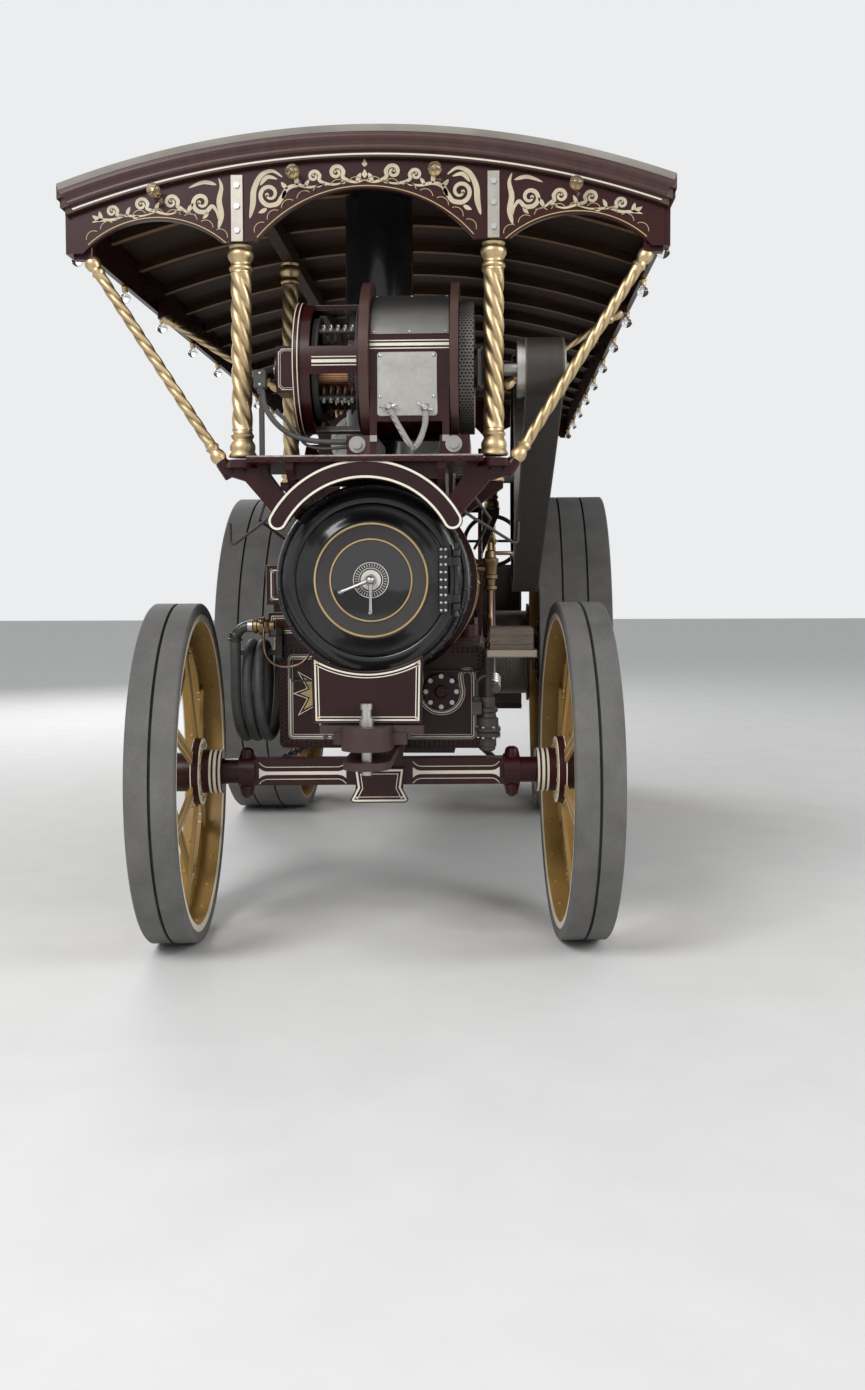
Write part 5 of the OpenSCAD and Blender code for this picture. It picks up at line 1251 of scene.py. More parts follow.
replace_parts(add("lamp_bulbs", [turned(bulb, spot, way, 20) for spot, way in lamp_spots], glass, 50),
    "canopy_lamps")
add("lamp_holders", [turned(holder, spot, way, 16) for spot, way in lamp_spots], brass, 40)
wires = []
for spot, way in lamp_spots:
    across_way = ACROSS if abs(way.x) < 0.5 else -AHEAD
    for s in (-1, 1):
        wires.append(pipe([spot + way * 0.03, spot + way * 0.05 + across_way * 0.007 * s,
            spot + way * 0.056 + across_way * 0.009 * s], 0.0007, 4))
    wires.append(pipe([spot + way * 0.056 + across_way * 0.009 * k / 3 + way * 0.003 * (k % 2)
        for k in range(-3, 4)], 0.0005, 4))
add("lamp_wires", wires, filament, None)

# Dynamo: a twin-ring machine on the platform, driven by the belt. Its castings are lake with lined edges,
# the bars over and under its brush cage are bare steel, and the cover over the magnet is steel sheet gone
# dull.
dynamo_y, dynamo_z = at(-0.35), 2.335
dynamo_centre = Vector((0, dynamo_y, dynamo_z))
dynamo = Finish("dynamo_lake", lake_dark, 0.3)
film = dynamo.noise(2.2, 6)
from_shaft = (dynamo.y - dynamo_y).reach(dynamo.z - dynamo_z)
rings_part = (dynamo.x.within(-0.0175, 0.0215) + dynamo.x.within(0.3205, 0.3535)).held() * from_shaft.above(
    0.2795)
bolt_part = dynamo.z.within(1.98, 2.0482) * dynamo.y.below(at(-0.6185))
rim_lines = (dynamo.x.within(-0.2705, -0.2672) + dynamo.x.within(-0.2535, -0.25)).held() * from_shaft.above(
    0.2572)
age = dynamo.noise(6, 6)
colour = dynamo.blend((film * 1.4 - 0.2).held(), lake_dark, lake_light)
bar_part = (dynamo.x.within(-0.208, -0.032) * (dynamo.z - dynamo_z).size().above(0.19)
    * from_shaft.above(0.247) * dynamo.z.above(2.06))
bare = (bolt_part + bar_part).held()
colour = dynamo.blend(rings_part, colour, dynamo.blend(age, (0.05, 0.022, 0.02), (0.085, 0.045, 0.036)))
colour = dynamo.blend(bare, colour, dynamo.blend(age, (0.5, 0.49, 0.47), (0.2, 0.19, 0.18)))
dynamo.paint(colour=dynamo.blend(rim_lines, colour, cream), metal=bare, rough=0.16 + film * 0.2 + bare
    * 0.15, shine=0.35)
dynamo.bump((14, 4), 0.001, 0.3)
finish_node("dynamo_field", dynamo)
finish_node("dynamo_end_frames", dynamo)


def wrapped(x_low, x_high, radius, start, end, thick, steps=32):
    """A curved sheet round the dynamo's shaft; its angles run in degrees from ahead over the top."""
    section = ((x_low, radius), (x_low, radius + thick), (x_high, radius + thick), (x_high, radius))
    ways = [outward(start + (end - start) * i / steps, AHEAD) for i in range(steps + 1)]
    verts = [dynamo_centre + ACROSS * x + way * reach for way in ways for x, reach in section]
    return verts, skin(steps + 1, 4)


brushed = Finish("brushed_sheet", (0.45, 0.44, 0.42), 0.4, 1.0, slot="bright_steel")
strokes = brushed.noise(18, 6, stretch=(0.4, 8, 8))
smudge = brushed.noise(5, 6)
brushed.paint(colour=brushed.blend((smudge * 1.5 - 0.3).held(), (0.23, 0.22, 0.205), (0.11, 0.105, 0.1)),
    rough=0.3 + strokes * 0.18 + smudge * 0.1)
brushed.bump(strokes, 0.0003, 0.5)
add("magnet_cover", wrapped(0.026, 0.316, 0.2782, 18.5, 150, 0.002), brushed, 40)
cover_ways = [(x, outward(degrees, AHEAD)) for x in (0.036, 0.171, 0.306) for degrees in (20.5, 70, 148)]
heads("magnet_cover_screws", [(dynamo_centre + ACROSS * x + way * 0.28, way) for x, way in cover_ways],
    0.0055, steel)
dynamo_lines = []
for y, low, high, lines in ((at(-0.6305), 0.024, 0.318,
        ((2.3965, 0.0036), (2.3825, 0.0108), (2.368, 0.0036))),
        (dynamo_y - 0.2484, -0.198, -0.03, ((2.3455, 0.0036), (2.33, 0.012), (2.3145, 0.0036)))):
    for z, width in lines:
        dynamo_lines.append(Face((0, y, 0)).line([(low, z), (high, z)], width, False))
for low, high in ((-0.353, -0.272), (0.423, 0.481)):
    outline = panel((low, dynamo_z - 0.088), (high, dynamo_z + 0.076), 0.012, True)
    dynamo_lines.append(Face((0, dynamo_y - 0.0755, 0)).frame(outline, (0.004, 0.0032), (0.011, 0.0016)))
add("dynamo_lining", dynamo_lines, cream_line, None)

# Terminals: a blank nickelled plate with a screw at each corner, and two glands with wing nuts from which
# braided leads cross down to the platform.
nickel = Finish("nickelled_plate", (0.66, 0.64, 0.6), 0.35, 0.9, slot="bright_steel")
spots = nickel.noise(40, 6)
cloud = nickel.noise(9, 5)
nickel.paint(colour=nickel.blend((spots * 0.8 + cloud * 0.7 - 0.45).held(), (0.5, 0.49, 0.46),
    (0.2, 0.19, 0.17)), rough=0.26 + spots * 0.3)
nickel.bump(spots, 0.0003, 0.5)
terminal_face = Face((0, at(-0.6272), 0))
add("terminal_plate", terminal_face.slab(panel((0.05, 2.1185), (0.274, 2.3545), 0.012), 0.006), nickel, 40)
heads("terminal_plate_screws", [(terminal_face.at(x, z, 0.006), AHEAD) for x in (0.062, 0.262)
    for z in (2.19, 2.3415)], 0.0072, steel)
gland_parts, leads = [], []
bottom_meet = Vector((0.186, at(-0.64), 2.0))
for x, z, lean, path in ((0.095, 2.1505, -8, ((0.1083, 2.1237), (0.1203, 2.0997), (0.1402, 2.0636),
        (0.1641, 2.0235))), (0.2304, 2.1455, 24, ((0.2312, 2.1146), (0.2287, 2.0827), (0.2165, 2.043),
        (0.2003, 2.0112)))):
    boss = Vector((x, at(-0.6332), z))
    gland_parts.append(turned(mm((0, 17), (8, 18), (12, 14), (24, 12), (28, 9)), boss, AHEAD, 20))
    wing = outward(-lean)
    for s in (-1, 1):
        root = boss + Vector((0, -0.02, 0))
        gland_parts.append(pipe([root + wing * 0.006 * s, root + wing * 0.018 * s, root + wing * 0.03 * s
            + Vector((0, -0.004, 0.003)), root + wing * 0.034 * s], [0.004, 0.0035, 0.005, 0.002], 8))
    line = [boss + Vector((0, -0.008, -0.01))] + [Vector((a, at(-0.655), b))
        for a, b in path] + [bottom_meet]
    fine = flowing([tuple(p) for p in line], 8)
    leads.append(pipe(fine, [0.0115 if (i // 8) % 2 else 0.0108 for i in range(len(fine))], 12))
add("terminal_glands", gland_parts, steel, 40)
braid = Finish("braided_lead", (0.3, 0.29, 0.27), 0.6, slot="hose_rubber")
weave = braid.add("ShaderNodeTexWave", {"wave_type": "BANDS", "bands_direction": "DIAGONAL"},
    {"Vector": braid.place, "Scale": 55.0, "Distortion": 1.5, "Detail": 2.0}, "Fac")
braid.paint(colour=braid.blend(weave, (0.16, 0.15, 0.14), (0.46, 0.44, 0.41)), rough=0.5 + weave * 0.2)
braid.bump(weave, 0.0012, 0.8)
add("terminal_leads", leads, braid, 50)

# Brush gear: behind the cage's bars sit the rocker ring, brass brush boxes with their springs, and looped
# pigtails.
copper = Finish("dark_copper", (0.45, 0.19, 0.1), 0.4, 0.8, slot="brass")
copper.mottle((30, 5), ((0.42, 0.2, 0.11), (0.08, 0.05, 0.04)), (0.35, 0.3))


def helix(start, way, radius, length, turns, wire, per_turn=10):
    way = Vector(way).normalized()
    u = way.orthogonal().normalized()
    v = way.cross(u)
    count = int(turns * per_turn)
    return pipe([Vector(start) + way * length * i / count + radius
        * (cos(2 * pi * i / per_turn) * u + sin(2 * pi * i / per_turn) * v) for i in range(count + 1)],
        wire, 5)


gear_parts, spring_parts, pigtails = [], [], []
gear_parts.append(turned(mm((0, 168), (0, 200), (22, 200), (22, 168)), (-0.206, dynamo_y, dynamo_z), ACROSS,
    64, True))
for degrees in (44, -44, 136, 224):
    radial, tangent = outward(degrees, AHEAD), outward(90 - degrees, -AHEAD)
    gear_parts.append(pipe([dynamo_centre + radial * 0.182 + ACROSS * x for x in (-0.206, -0.045)], 0.01,
        10))
    for i in range(5):
        spot = dynamo_centre + radial * 0.152 + ACROSS * (-0.164 + 0.027 * i)
        gear_parts.append(turned(mm((-22, 11.8), (-22, 12.5), (20, 12.5), (20, 11.8)), spot, radial, 4))
        spring_parts.append(helix(spot + radial * 0.02, radial, 0.007, 0.034, 6, 0.0012))
        loop = [spot + radial * a + tangent * b for a, b in ((0.02, 0.008), (0.04, 0.022), (0.034, 0.04),
            (0.012, 0.044), (-0.004, 0.03), (0.004, 0.014))]
        pigtails.append(pipe(flowing([tuple(p) for p in loop], 5), 0.0022, 6))
dusty_black = Finish("insulated_black", (0.03, 0.03, 0.03), 0.6, slot="dark_iron")
dusty_black.mottle((50, 5), ((0.018, 0.018, 0.018), (0.085, 0.08, 0.075)), (0.5, 0.3))
add("brush_gear", gear_parts, dusty_black, 35)
add("brush_springs", spring_parts, steel, 60)
add("brush_pigtails", pigtails, copper, 60)
add("yoke_inner_face", turned(mm((-10, 150), (-10, 247), (8, 247), (8, 150)), (-0.026, dynamo_y, dynamo_z),
    ACROSS, 48, True), dusty_black)

# Armature: steel shaft, copper commutator with mica lines, taped end windings and an iron pulley.
winding = Finish("armature", (0.3, 0.3, 0.3), 0.4)
reach = (winding.y - dynamo_y).reach(winding.z - dynamo_z)
round_angle = (winding.y - dynamo_y).math("ARCTAN2", winding.z - dynamo_z)
segment = ((round_angle * (72 / (2 * pi))) % 1.0).within(0.12, 0.88)
tape = (((round_angle * (48 / (2 * pi))) + winding.x * 40) % 1.0).within(0.15, 0.85)
oil = winding.noise(14, 5)
on_segments = winding.x.within(-0.1965, -0.0745) * reach.above(0.03)
on_tape = winding.x.within(-0.0745, 0.33) * reach.above(0.03)
colour = winding.blend(oil, (0.6, 0.59, 0.58), (0.3, 0.29, 0.28))
colour = winding.blend(on_segments, colour, winding.blend(segment, (0.02, 0.018, 0.016), (0.5, 0.25, 0.14)))
colour = winding.blend(on_tape, colour, winding.blend(tape, (0.01, 0.009, 0.008), (0.1, 0.055, 0.03)))
winding.paint(colour=colour, metal=1 - on_tape, rough=0.25 + oil * 0.25 + on_tape * 0.2)
finish_node("dynamo_rotor", winding)

# Guard: a drum of pierced sheet over the dynamo's driven end, its slots staggered row by row.
pierced = Finish("pierced_sheet", (0.2, 0.2, 0.2), 0.5, 0.3, slot="dark_iron")
around = (pierced.z - dynamo_z).math("ARCTAN2", (pierced.y - dynamo_y) * -1.0) * (0.254 / 0.0125)
row_shift = around.math("FLOOR") % 2.0 * 0.5
slot_part = (around % 1.0).within(0.22, 0.78) * ((pierced.x * (1 / 0.0135) + row_shift) % 1.0).within(0.2,
    0.86)
rust = pierced.noise(24, 5)
pierced.paint(colour=pierced.blend(slot_part, pierced.blend(rust, (0.2, 0.19, 0.18), (0.1, 0.085, 0.075)),
    (0.006, 0.006, 0.006)), rough=0.45 + slot_part * 0.4, metal=0.5 - slot_part * 0.5)
pierced.bump(slot_part * -1.0, 0.0012, 1.0)
add("pierced_guard", wrapped(0.3545, 0.4085, 0.2525, 0, 359.9, 0.001, 96), pierced, 40)

# Wiring: a stout rubber cable and a thinner one run from a box behind the offside pillar down along the
# platform.
rubber_cable = Finish("cable_rubber", (0.045, 0.045, 0.045), 0.5, slot="hose_rubber")
rubber_cable.mottle((40, 5), ((0.02, 0.02, 0.02), (0.1, 0.095, 0.09)), (0.4, 0.3))
stout = mm((-393.5, 2257.9), (-385.7, 2217.4), (-379.5, 2176.9), (-361.8, 2136.2), (-329.4, 2095.4),
    (-280.5, 2058.5), (-223.3, 2039.3), (-157.9, 2030.7), (-70.2, 2028.4))
thin = mm((-334.6, 2153.5), (-293.9, 2104.4), (-257.3, 2063.5), (-224.8, 2022.6), (-167.5, 2005.9),
    (-70.2, 2010))
add("dynamo_cables", [pipe(flowing([(x, at(y), z) for x, z in points], 8), radius, 12)
    for points, radius, y in ((stout, 0.0105, -0.585), (thin, 0.006, -0.575))], rubber_cable, 50)
box_parts = [Face((0, at(-0.56), 0)).slab(panel((-0.418, 2.232), (-0.372, 2.3), 0.006), 0.04),
    Face((0, at(-0.545), 0)).slab(panel((-0.405, platform_z), (-0.385, 2.24)), 0.012)]
box_parts += [turned(mm((0, 14), (14, 14), (18, 11), (26, 11)), (-0.3935, at(-0.585), 2.236), -UP, 16)]
add("cable_box", box_parts, dusty_black, 35)
heads("cable_box_screws", [((-0.3935, at(-0.6005), z), AHEAD) for z in (2.245, 2.287)], 0.006, steel)

# Belt: dressed leather and canvas, dark and shiny where it has run, with pale bruised edges and a laced
# joint.
leather = Finish("belt_leather", (0.06, 0.045, 0.035), 0.5)
run = leather.noise(3, 6, stretch=(14, 1, 1))
blotch = leather.noise(5, 6)
belt_in, belt_out = (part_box("drive_belt")[0][0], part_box("drive_belt")[1][0])
edges = (leather.x.below(belt_in + 0.006) + leather.x.above(belt_out - 0.006)).held()
colour = leather.blend((run * 0.7 + blotch * 0.6 - 0.2).held(), (0.014, 0.011, 0.01), (0.05, 0.038, 0.03))
leather.paint(colour=leather.blend(edges, colour, (0.1, 0.08, 0.062)), rough=0.28 + blotch * 0.3)
leather.bump((60, 4), 0.0008, 0.5)
finish_node("drive_belt", leather)

# Belly tank: riveted plate with angle iron round its front, lined with a broad cream line between fine ones
# that turns round the washout port, and with an eight-pointed star on the offside.
tank_half, tank_low, tank_high = 0.445, 0.79, 1.232
tank_face = Face((0, at(0.132), 0))
ring_face = Face((0, at(0.124), 0))
port_x, port_z, port_turn = 0.258, 1.035, 0.092
tank_line = ([(-0.398, 0.85)] + bow((-0.386, 0.85), 0.012, 180, 270, 4) + bow((0.386, 0.85), 0.012, 270,
    360, 4) + bow((0.3695, 1.1), 0.0285, 0, 180, 10) + bow((port_x, port_z), port_turn, 18, -198, 24)
    + [(0.168, 1.174)] + bow((0.156, 1.174), 0.012, 0, 90, 4) + bow((-0.386, 1.174), 0.012, 90, 180, 4))
tank_lines = [tank_face.line(tank_line, 0.0065)]
for side in (-1, 1):
    tank_lines.append(tank_face.line(inset(tank_line, 0.0095 * side + 0.0005), 0.0024))


def star(centre, reaches, inner):
    points = []
    for i in range(16):
        angle = radians(90 - 22.5 * i)
        reach = inner if i % 2 else reaches[i // 2 % 4]
        points.append((centre[0] + reach * cos(angle), centre[1] + reach * sin(angle)))
    return points[::-1]


star_centre = (-0.27, 1.026)
tank_lines.append(tank_face.line(star(star_centre, (0.143, 0.132, 0.112, 0.132), 0.058), 0.0034))
add("tank_lining", tank_lines, cream_line, None)
add("tank_star", tank_face.fill(star(star_centre, (0.11, 0.1, 0.088, 0.1), 0.046)), straw_line, None)
tank_rivets = []
for low, high, steps, offset in ((tank_low + 0.03, tank_high - 0.03, 20, 0.01),
        (tank_low + 0.042, tank_high - 0.042, 19, 0.0245)):
    for i in range(steps + 1):
        z = low + (high - low) * i / steps
        for side in (-1, 1):
            tank_rivets.append((ring_face.at(side * (tank_half - offset), z), AHEAD))
    for i in range(41):
        x = -tank_half + 0.032 + (2 * tank_half - 0.064) * i / 40
        for z in (tank_low + offset, tank_high - offset):
            if z < 1.15 or abs(x) > 0.3:
                tank_rivets.append((ring_face.at(x, z), AHEAD))
for side in (-1, 1):
    for i in range(52):
        for z in (tank_low + 0.02, tank_high - 0.02):
            tank_rivets.append(((side * tank_half, at(0.15 + 0.0258 * i), z), side * ACROSS))
heads("tank_rivets", tank_rivets, 0.0056, lake)
port = [turned(mm((0, 82), (10, 82), (14, 76), (14, 0)), (port_x, at(0.132), port_z), AHEAD, 40),
    turned(mm((12, 30), (26, 28), (30, 22), (30, 0)), (port_x, at(0.132), port_z), AHEAD, 24)]
add("washout_port", port, lake)
heads("washout_port_bolts", round_about((port_x, at(0.118), port_z), AHEAD, 0.066, 8), 0.011, steel, "hex",
    0.6)

# Lockers: two lined boxes on the offside, one above the other beside the smokebox.
locker_lines, worn_lines = [], []
front = Face((0, at(0.126), 0))
for low, high, left, lines in ((1.412, 1.584, -0.5, ((0.0235, 0.0062), (0.0345, 0.002))),
        (1.272, 1.38, -0.494, ((0.0175, 0.003), (0.027, 0.003), (0.035, 0.0016)))):
    outline = panel((left, low), (-0.262, high), 0.022)
    locker_lines.append(front.frame(outline, *lines))
    worn_lines.append(front.line([(left + 0.002, low + 0.004), (left + 0.002, high - 0.002),
        (-0.3, high - 0.002)], 0.0022, False))
    locker_lines.append(Face((left, at(0.336), 0), AHEAD).frame(panel((0.006, low), (0.204, high), 0.014),
        (0.016, 0.005), (0.026, 0.0018)))
add("locker_lining", locker_lines, cream_line, None)
add("locker_edges", worn_lines, edge_paint, None)

# Suction pipe: a coupling with wing nuts on the tank's corner, a black swan neck with a bright collar, two
# hooks for the coil and a clip for its end; the strainer is turned brass.
neck_y = at(-0.026)
neck_top = neck_z + 0.062
neck_paint = Finish("neck_black", (0.02, 0.02, 0.02), 0.25, slot="black_paint")
neck_paint.mottle((10, 5), ((0.012, 0.012, 0.012), (0.05, 0.047, 0.043)), (0.28, 0.25))
bend_x = hose_x + 0.062
neck_line = [Vector((bend_x - 0.062 * cos(radians(a)), neck_y, neck_z + 0.062 * sin(radians(a))))
    for a in range(0, 91, 9)]
neck_parts = [pipe(neck_line + [Vector((-0.522, neck_y, neck_top))], 0.022, 24),
    turned(mm((0, 30), (8, 30), (12, 25), (30, 24.5), (34, 22.5)), (hose_x, neck_y, neck_z), UP, 24)]
add("swan_neck", neck_parts, neck_paint, 40)


def block(low, high, bevel=0.003):
    """A bar with chamfered edges at its front, between two corners."""
    return Face((0, high[1], 0)).slab(panel((low[0], low[2]), (high[0], high[2])), high[1] - low[1], bevel)


hook_parts = [block(low, high) for low, high in (((-0.455, neck_y - 0.018, 1.282),
    (-0.425, at(0.1234), 1.312)), ((-0.455, at(0.09), 1.18), (-0.425, at(0.1234), 1.312)),
    ((-0.636, at(0.158), 1.192), (-0.4456, at(0.19), 1.2148)),
    ((-0.508, at(0.3986), 1.176), (-0.4456, at(0.422), 1.2)))]
add("hose_hooks", hook_parts, neck_paint, 35)
bronze = Finish("dull_bronze", (0.22, 0.15, 0.08), 0.4, 1.0, slot="brass")
bronze.mottle((14, 6), ((0.34, 0.24, 0.125), (0.085, 0.06, 0.038)), (0.26, 0.3), (1.6, 0.4))
coupling = [turned(mm((0, 24), (4, 31), (16, 31), (20, 26), (26, 26), (28, 38), (46, 38), (50, 30),
    (66, 28), (70, 24), (88, 24)), (-0.528, neck_y, neck_top), ACROSS, 32)]
for degrees in (35, 155, 275):
    way = outward(degrees, -AHEAD)
    foot = Vector((-0.491, neck_y, neck_top)) + way * 0.036
    coupling.append(pipe([foot, foot + way * 0.012, foot + way * 0.016], [0.009, 0.007, 0.003], 10))
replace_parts(add("hose_coupling", coupling, bronze, 40), "hose_pipe")
add("neck_collar", turned(mm((0, 22.5), (2, 26.5), (22, 26.5), (24, 22.5)), (-0.552, neck_y, neck_top),
    ACROSS, 28), nickel, 40)
sieve = Finish("strainer_brass", brass_bright, 0.35, 1.0)
sieve_dots = ((sieve.z * 110).math("SINE") * ((sieve.y - at(0.374)).math("ARCTAN2", sieve.x + 0.4835)
    * 14).math("SINE")).above(0.35)
rub = sieve.noise(14, 5)
sieve_holes = sieve_dots * sieve.z.within(1.226, 1.312)
sieve.paint(colour=sieve.blend(sieve_holes, sieve.blend(rub, brass_bright, brass_dull),
    (0.02, 0.015, 0.01)), metal=1 - sieve_holes, rough=0.25 + rub * 0.25)
finish_node("hose_strainer", sieve)

# Small pipes across the tank: a bright drain bent under the coupling and two dull ones that turn square
# corners.
copper_pipe = Finish("bright_copper", (0.72, 0.42, 0.27), 0.3, 1.0, slot="brass")
copper_pipe.mottle((16, 5), ((0.42, 0.27, 0.19), (0.13, 0.085, 0.065)), (0.22, 0.25), (1.5, 0.3))
drain = flowing([(-0.478, neck_y - 0.03, 1.318), (-0.48, neck_y - 0.034, 1.27),
    (-0.472, neck_y - 0.03, 1.205), (-0.44, neck_y - 0.02, 1.165), (-0.39, neck_y - 0.01, 1.152),
    (-0.33, neck_y, 1.165), (-0.292, neck_y + 0.02, 1.205), (-0.27, neck_y + 0.06, 1.24)], 8)
add("drain_pipe", pipe(drain, 0.0055, 10), copper_pipe, 50)


def route(points, side=1):
    """Points of (across, back from the front axle, up) on one side of the engine."""
    return [(side * x, at(y), z) for x, y, z in points]


dull = [pipe(route([(-0.392, 0.126, 1.17), (-0.392, 0.11, 1.165), (-0.392, 0.106, 1.095),
    (-0.386, 0.106, 1.084), (-0.2, 0.106, 1.082), (-0.186, 0.112, 1.078), (-0.182, 0.128, 1.076)]), 0.0045,
    8), pipe(route([(0.2, 0.128, 1.124), (0.2, 0.108, 1.124), (0.212, 0.104, 1.124), (0.428, 0.104, 1.124),
    (0.44, 0.104, 1.13), (0.446, 0.104, 1.142), (0.446, 0.104, 1.214)]), 0.005, 8)]
add("tank_pipes", dull, iron, 50)

# Footboard on the nearside: a box of dark weathered boards on an oak plank with a worn pale edge, and the
# feed pump below it with its flanged barrel, gland, valve box and pipes.
oak = Finish("weathered_oak", (0.12, 0.08, 0.05), 0.6, slot="roof_wood")
rings_grain = oak.noise(9, 6, stretch=(1.2, 1.2, 16))
worn = (oak.z.below(1.2325) * oak.y.below(at(-0.316))).held()
boards = ((oak.z * (1 / 0.033)) % 1.0).below(0.06) * oak.z.above(1.24)
oak_tone = oak.blend((rings_grain * 1.6 - 0.3).held(), (0.125, 0.092, 0.064), (0.034, 0.024, 0.017))
oak_tone = oak.blend(worn, oak_tone, (0.24, 0.195, 0.145))
oak.paint(colour=oak.blend(boards, oak_tone, (0.006, 0.005, 0.004)), rough=0.45 + rings_grain * 0.3)
oak.bump(rings_grain - boards, 0.0012, 0.6)
finish_node("footboard", oak)
add("footboard_plank", block((0.456, at(-0.32), 1.204), (0.654, at(0.118), 1.232), 0.004), oak, 35)
pump_x, pump_y = 0.46, at(-0.06)
pump = [turned(mm((800, 20), (808, 30), (818, 30), (822, 34), (858, 34), (862, 50), (876, 52), (880, 46),
    (884, 52), (898, 52), (902, 44), (938, 42), (944, 34), (960, 32), (966, 40), (980, 40), (986, 30),
    (1010, 28), (1014, 20)), (pump_x, pump_y, 0), UP, 32),
    pipe([(pump_x, pump_y, 1.01), (pump_x, pump_y, 1.2)], 0.0165, 20),
    Face((0, pump_y - 0.024, 0)).slab(panel((pump_x - 0.068, 0.956), (pump_x - 0.026, 1.01), 0.006), 0.02),
    pipe([(pump_x - 0.048, pump_y - 0.02, 1.0), (pump_x - 0.048, pump_y - 0.02, 1.09),
    (pump_x - 0.03, pump_y - 0.02, 1.11), (pump_x - 0.004, pump_y - 0.014, 1.118)], 0.0085, 12),
    turned(mm((0, 15), (6, 17), (20, 17), (26, 11)), (pump_x - 0.048, pump_y - 0.02, 1.006), UP, 6)]
add("feed_pump", pump, iron, 40)
pump_bolts = [place for z, way in ((0.8985, UP), (0.8615, -UP))
    for place in round_about((pump_x, pump_y, z), way, 0.042, 6)]
heads("feed_pump_bolts", pump_bolts, 0.0085, steel, "hex", 0.8)

# Boiler mountings on the nearside: a brass check valve with its feed and delivery pipes; and on both sides
# the bent iron rods that stay the platform.
valve_x, valve_y = 0.47, at(0.56)
valve = [turned(mm((1470, 18), (1476, 30), (1490, 30), (1494, 22), (1520, 24), (1526, 34), (1540, 34),
    (1546, 28), (1590, 32), (1600, 40), (1616, 40), (1622, 26), (1650, 22), (1656, 12), (1690, 10)),
    (valve_x, valve_y, 0), UP, 28), pipe([(valve_x, valve_y, 1.57), (0.4, valve_y, 1.57)], 0.02, 16),
    turned([(0, 0.036), (0.012, 0.036)], (0.398, valve_y, 1.57), ACROSS, 24)]
add("check_valve", valve, bronze, 40)
feed = flowing([(valve_x, valve_y, 1.475), (valve_x, valve_y, 1.4), (valve_x, valve_y - 0.02, 1.33),
    (valve_x, valve_y - 0.1, 1.28), (valve_x, valve_y - 0.2, 1.262), (0.462, at(0.15), 1.245),
    (0.46, at(0.128), 1.225)], 6)
delivery = [pipe(feed, 0.014, 14), pipe(((valve_x, valve_y, 1.64), (valve_x + 0.03, valve_y, 1.642),
    (0.56, valve_y, 1.642), (0.572, valve_y + 0.01, 1.642), (0.575, at(0.9), 1.642)), 0.0095, 12)]
add("delivery_pipes", delivery, copper_pipe, 50)
rod_ways = [[(0.335, -0.47, 1.8), (0.4, -0.4, 1.755), (0.56, -0.25, 1.662), (0.572, -0.24, 1.66),
    (0.58, -0.238, 1.668), (0.582, -0.238, 1.745)], [(0.385, -0.45, 1.862), (0.47, -0.2, 1.76),
    (0.4, 0.43, 1.66)]]
add("platform_rods", [pipe(route(way, side), 0.0065, 10) for side in (-1, 1) for way in rod_ways], iron, 50)

# Rear wheels: broad steel rims with two T-rings inside, crossed flat spokes and cast hubs, painted and
# lined like the front ones.
rear_in, rear_width, rear_rim = 0.77, 0.446, 0.99
rear_out = rear_in + rear_width
rear_axle_z = (rear_low.z + rear_high.z) / 2
rear_sizes = {"spoke_line": (0.03, 0.0345), "spoke_reach": (0.225, 0.93), "rim_radius": rear_rim,
    "rim_lines": [(rear_in + 0.003, rear_in + 0.014), (rear_out - 0.014, rear_out - 0.003)],
    "hub_radius": 0.214, "hub_in": 0.0, "hub_out": rear_out - 0.0235, "flange_line": (0.196, 0.203),
    "bands": [(rear_in - 0.002, rear_in + 0.004), (rear_out - 0.05, rear_out - 0.036)], "cap_radius": 0.101,
    "cap_from": rear_out - 0.0235}
for side, word in SIDES:
    body = "rear_wheel_" + word
    finish_node(body, wheel_finish("rear_wheel_enamel_" + word, side, 0.0, rear_y, rear_axle_z, 20,
        rear_sizes))
    flip = Matrix.Translation((0, rear_y, 0)) @ Matrix.Diagonal((side, 1, 1, 1))
    rear_rivets = []
    for x, shift in ((rear_in + 0.096, 0.0), (rear_out - 0.096, 0.5)):
        for turned_by in (shift - 0.0165, shift + 0.0165):
            for radius in (0.93, 0.962):
                for way in (-1, 1):
                    rear_rivets += ring_of(10, radius, x + way * 0.0145, way, rear_axle_z, turned_by)
    heads(body + "_web_rivets", placed(rear_rivets, flip), 0.0095, rivet_paint, body=body)
    edge_rivets = []
    for x in (rear_in + 0.045, rear_in + 0.16, rear_out - 0.16, rear_out - 0.045):
        edge_rivets += ring_of(40, rear_rim, x, "in", rear_axle_z, 0.5)
    heads(body + "_rim_rivets", placed(edge_rivets, flip), 0.011, rivet_paint, body=body)
    hub_bolts = [place for x, way in ((rear_in + 0.019, -1), (rear_out - 0.025, 1))
        for place in ring_of(20, 0.176, x, way, rear_axle_z, 0.5)]
    heads(body + "_hub_bolts", placed(hub_bolts, flip), 0.0115, rivet_paint, "hex", 0.5, body=body)

# Boiler barrel: lagged and clad in painted sheet, held by four brass bands with a clamp screw under each.
band = mm((4, 412), (4, 413.6), (46, 413.6), (46, 412))
band_radius = band[1][1]
band_parts, band_screws = [], []
for y in (0.426, 0.83, 1.24, 1.7):
    band_parts.append(turned(band, (0, at(y), boiler_z), -AHEAD, 96, True))
    for way in (outward(degrees) for degrees in (-90, -60, -120, 0, 180, 40, 140)):
        band_screws.append((Vector((0, at(y + 0.025), boiler_z)) + way * band_radius, way))
add("boiler_bands", band_parts, brass, 50)
heads("band_screws", band_screws, 0.0055, brass)

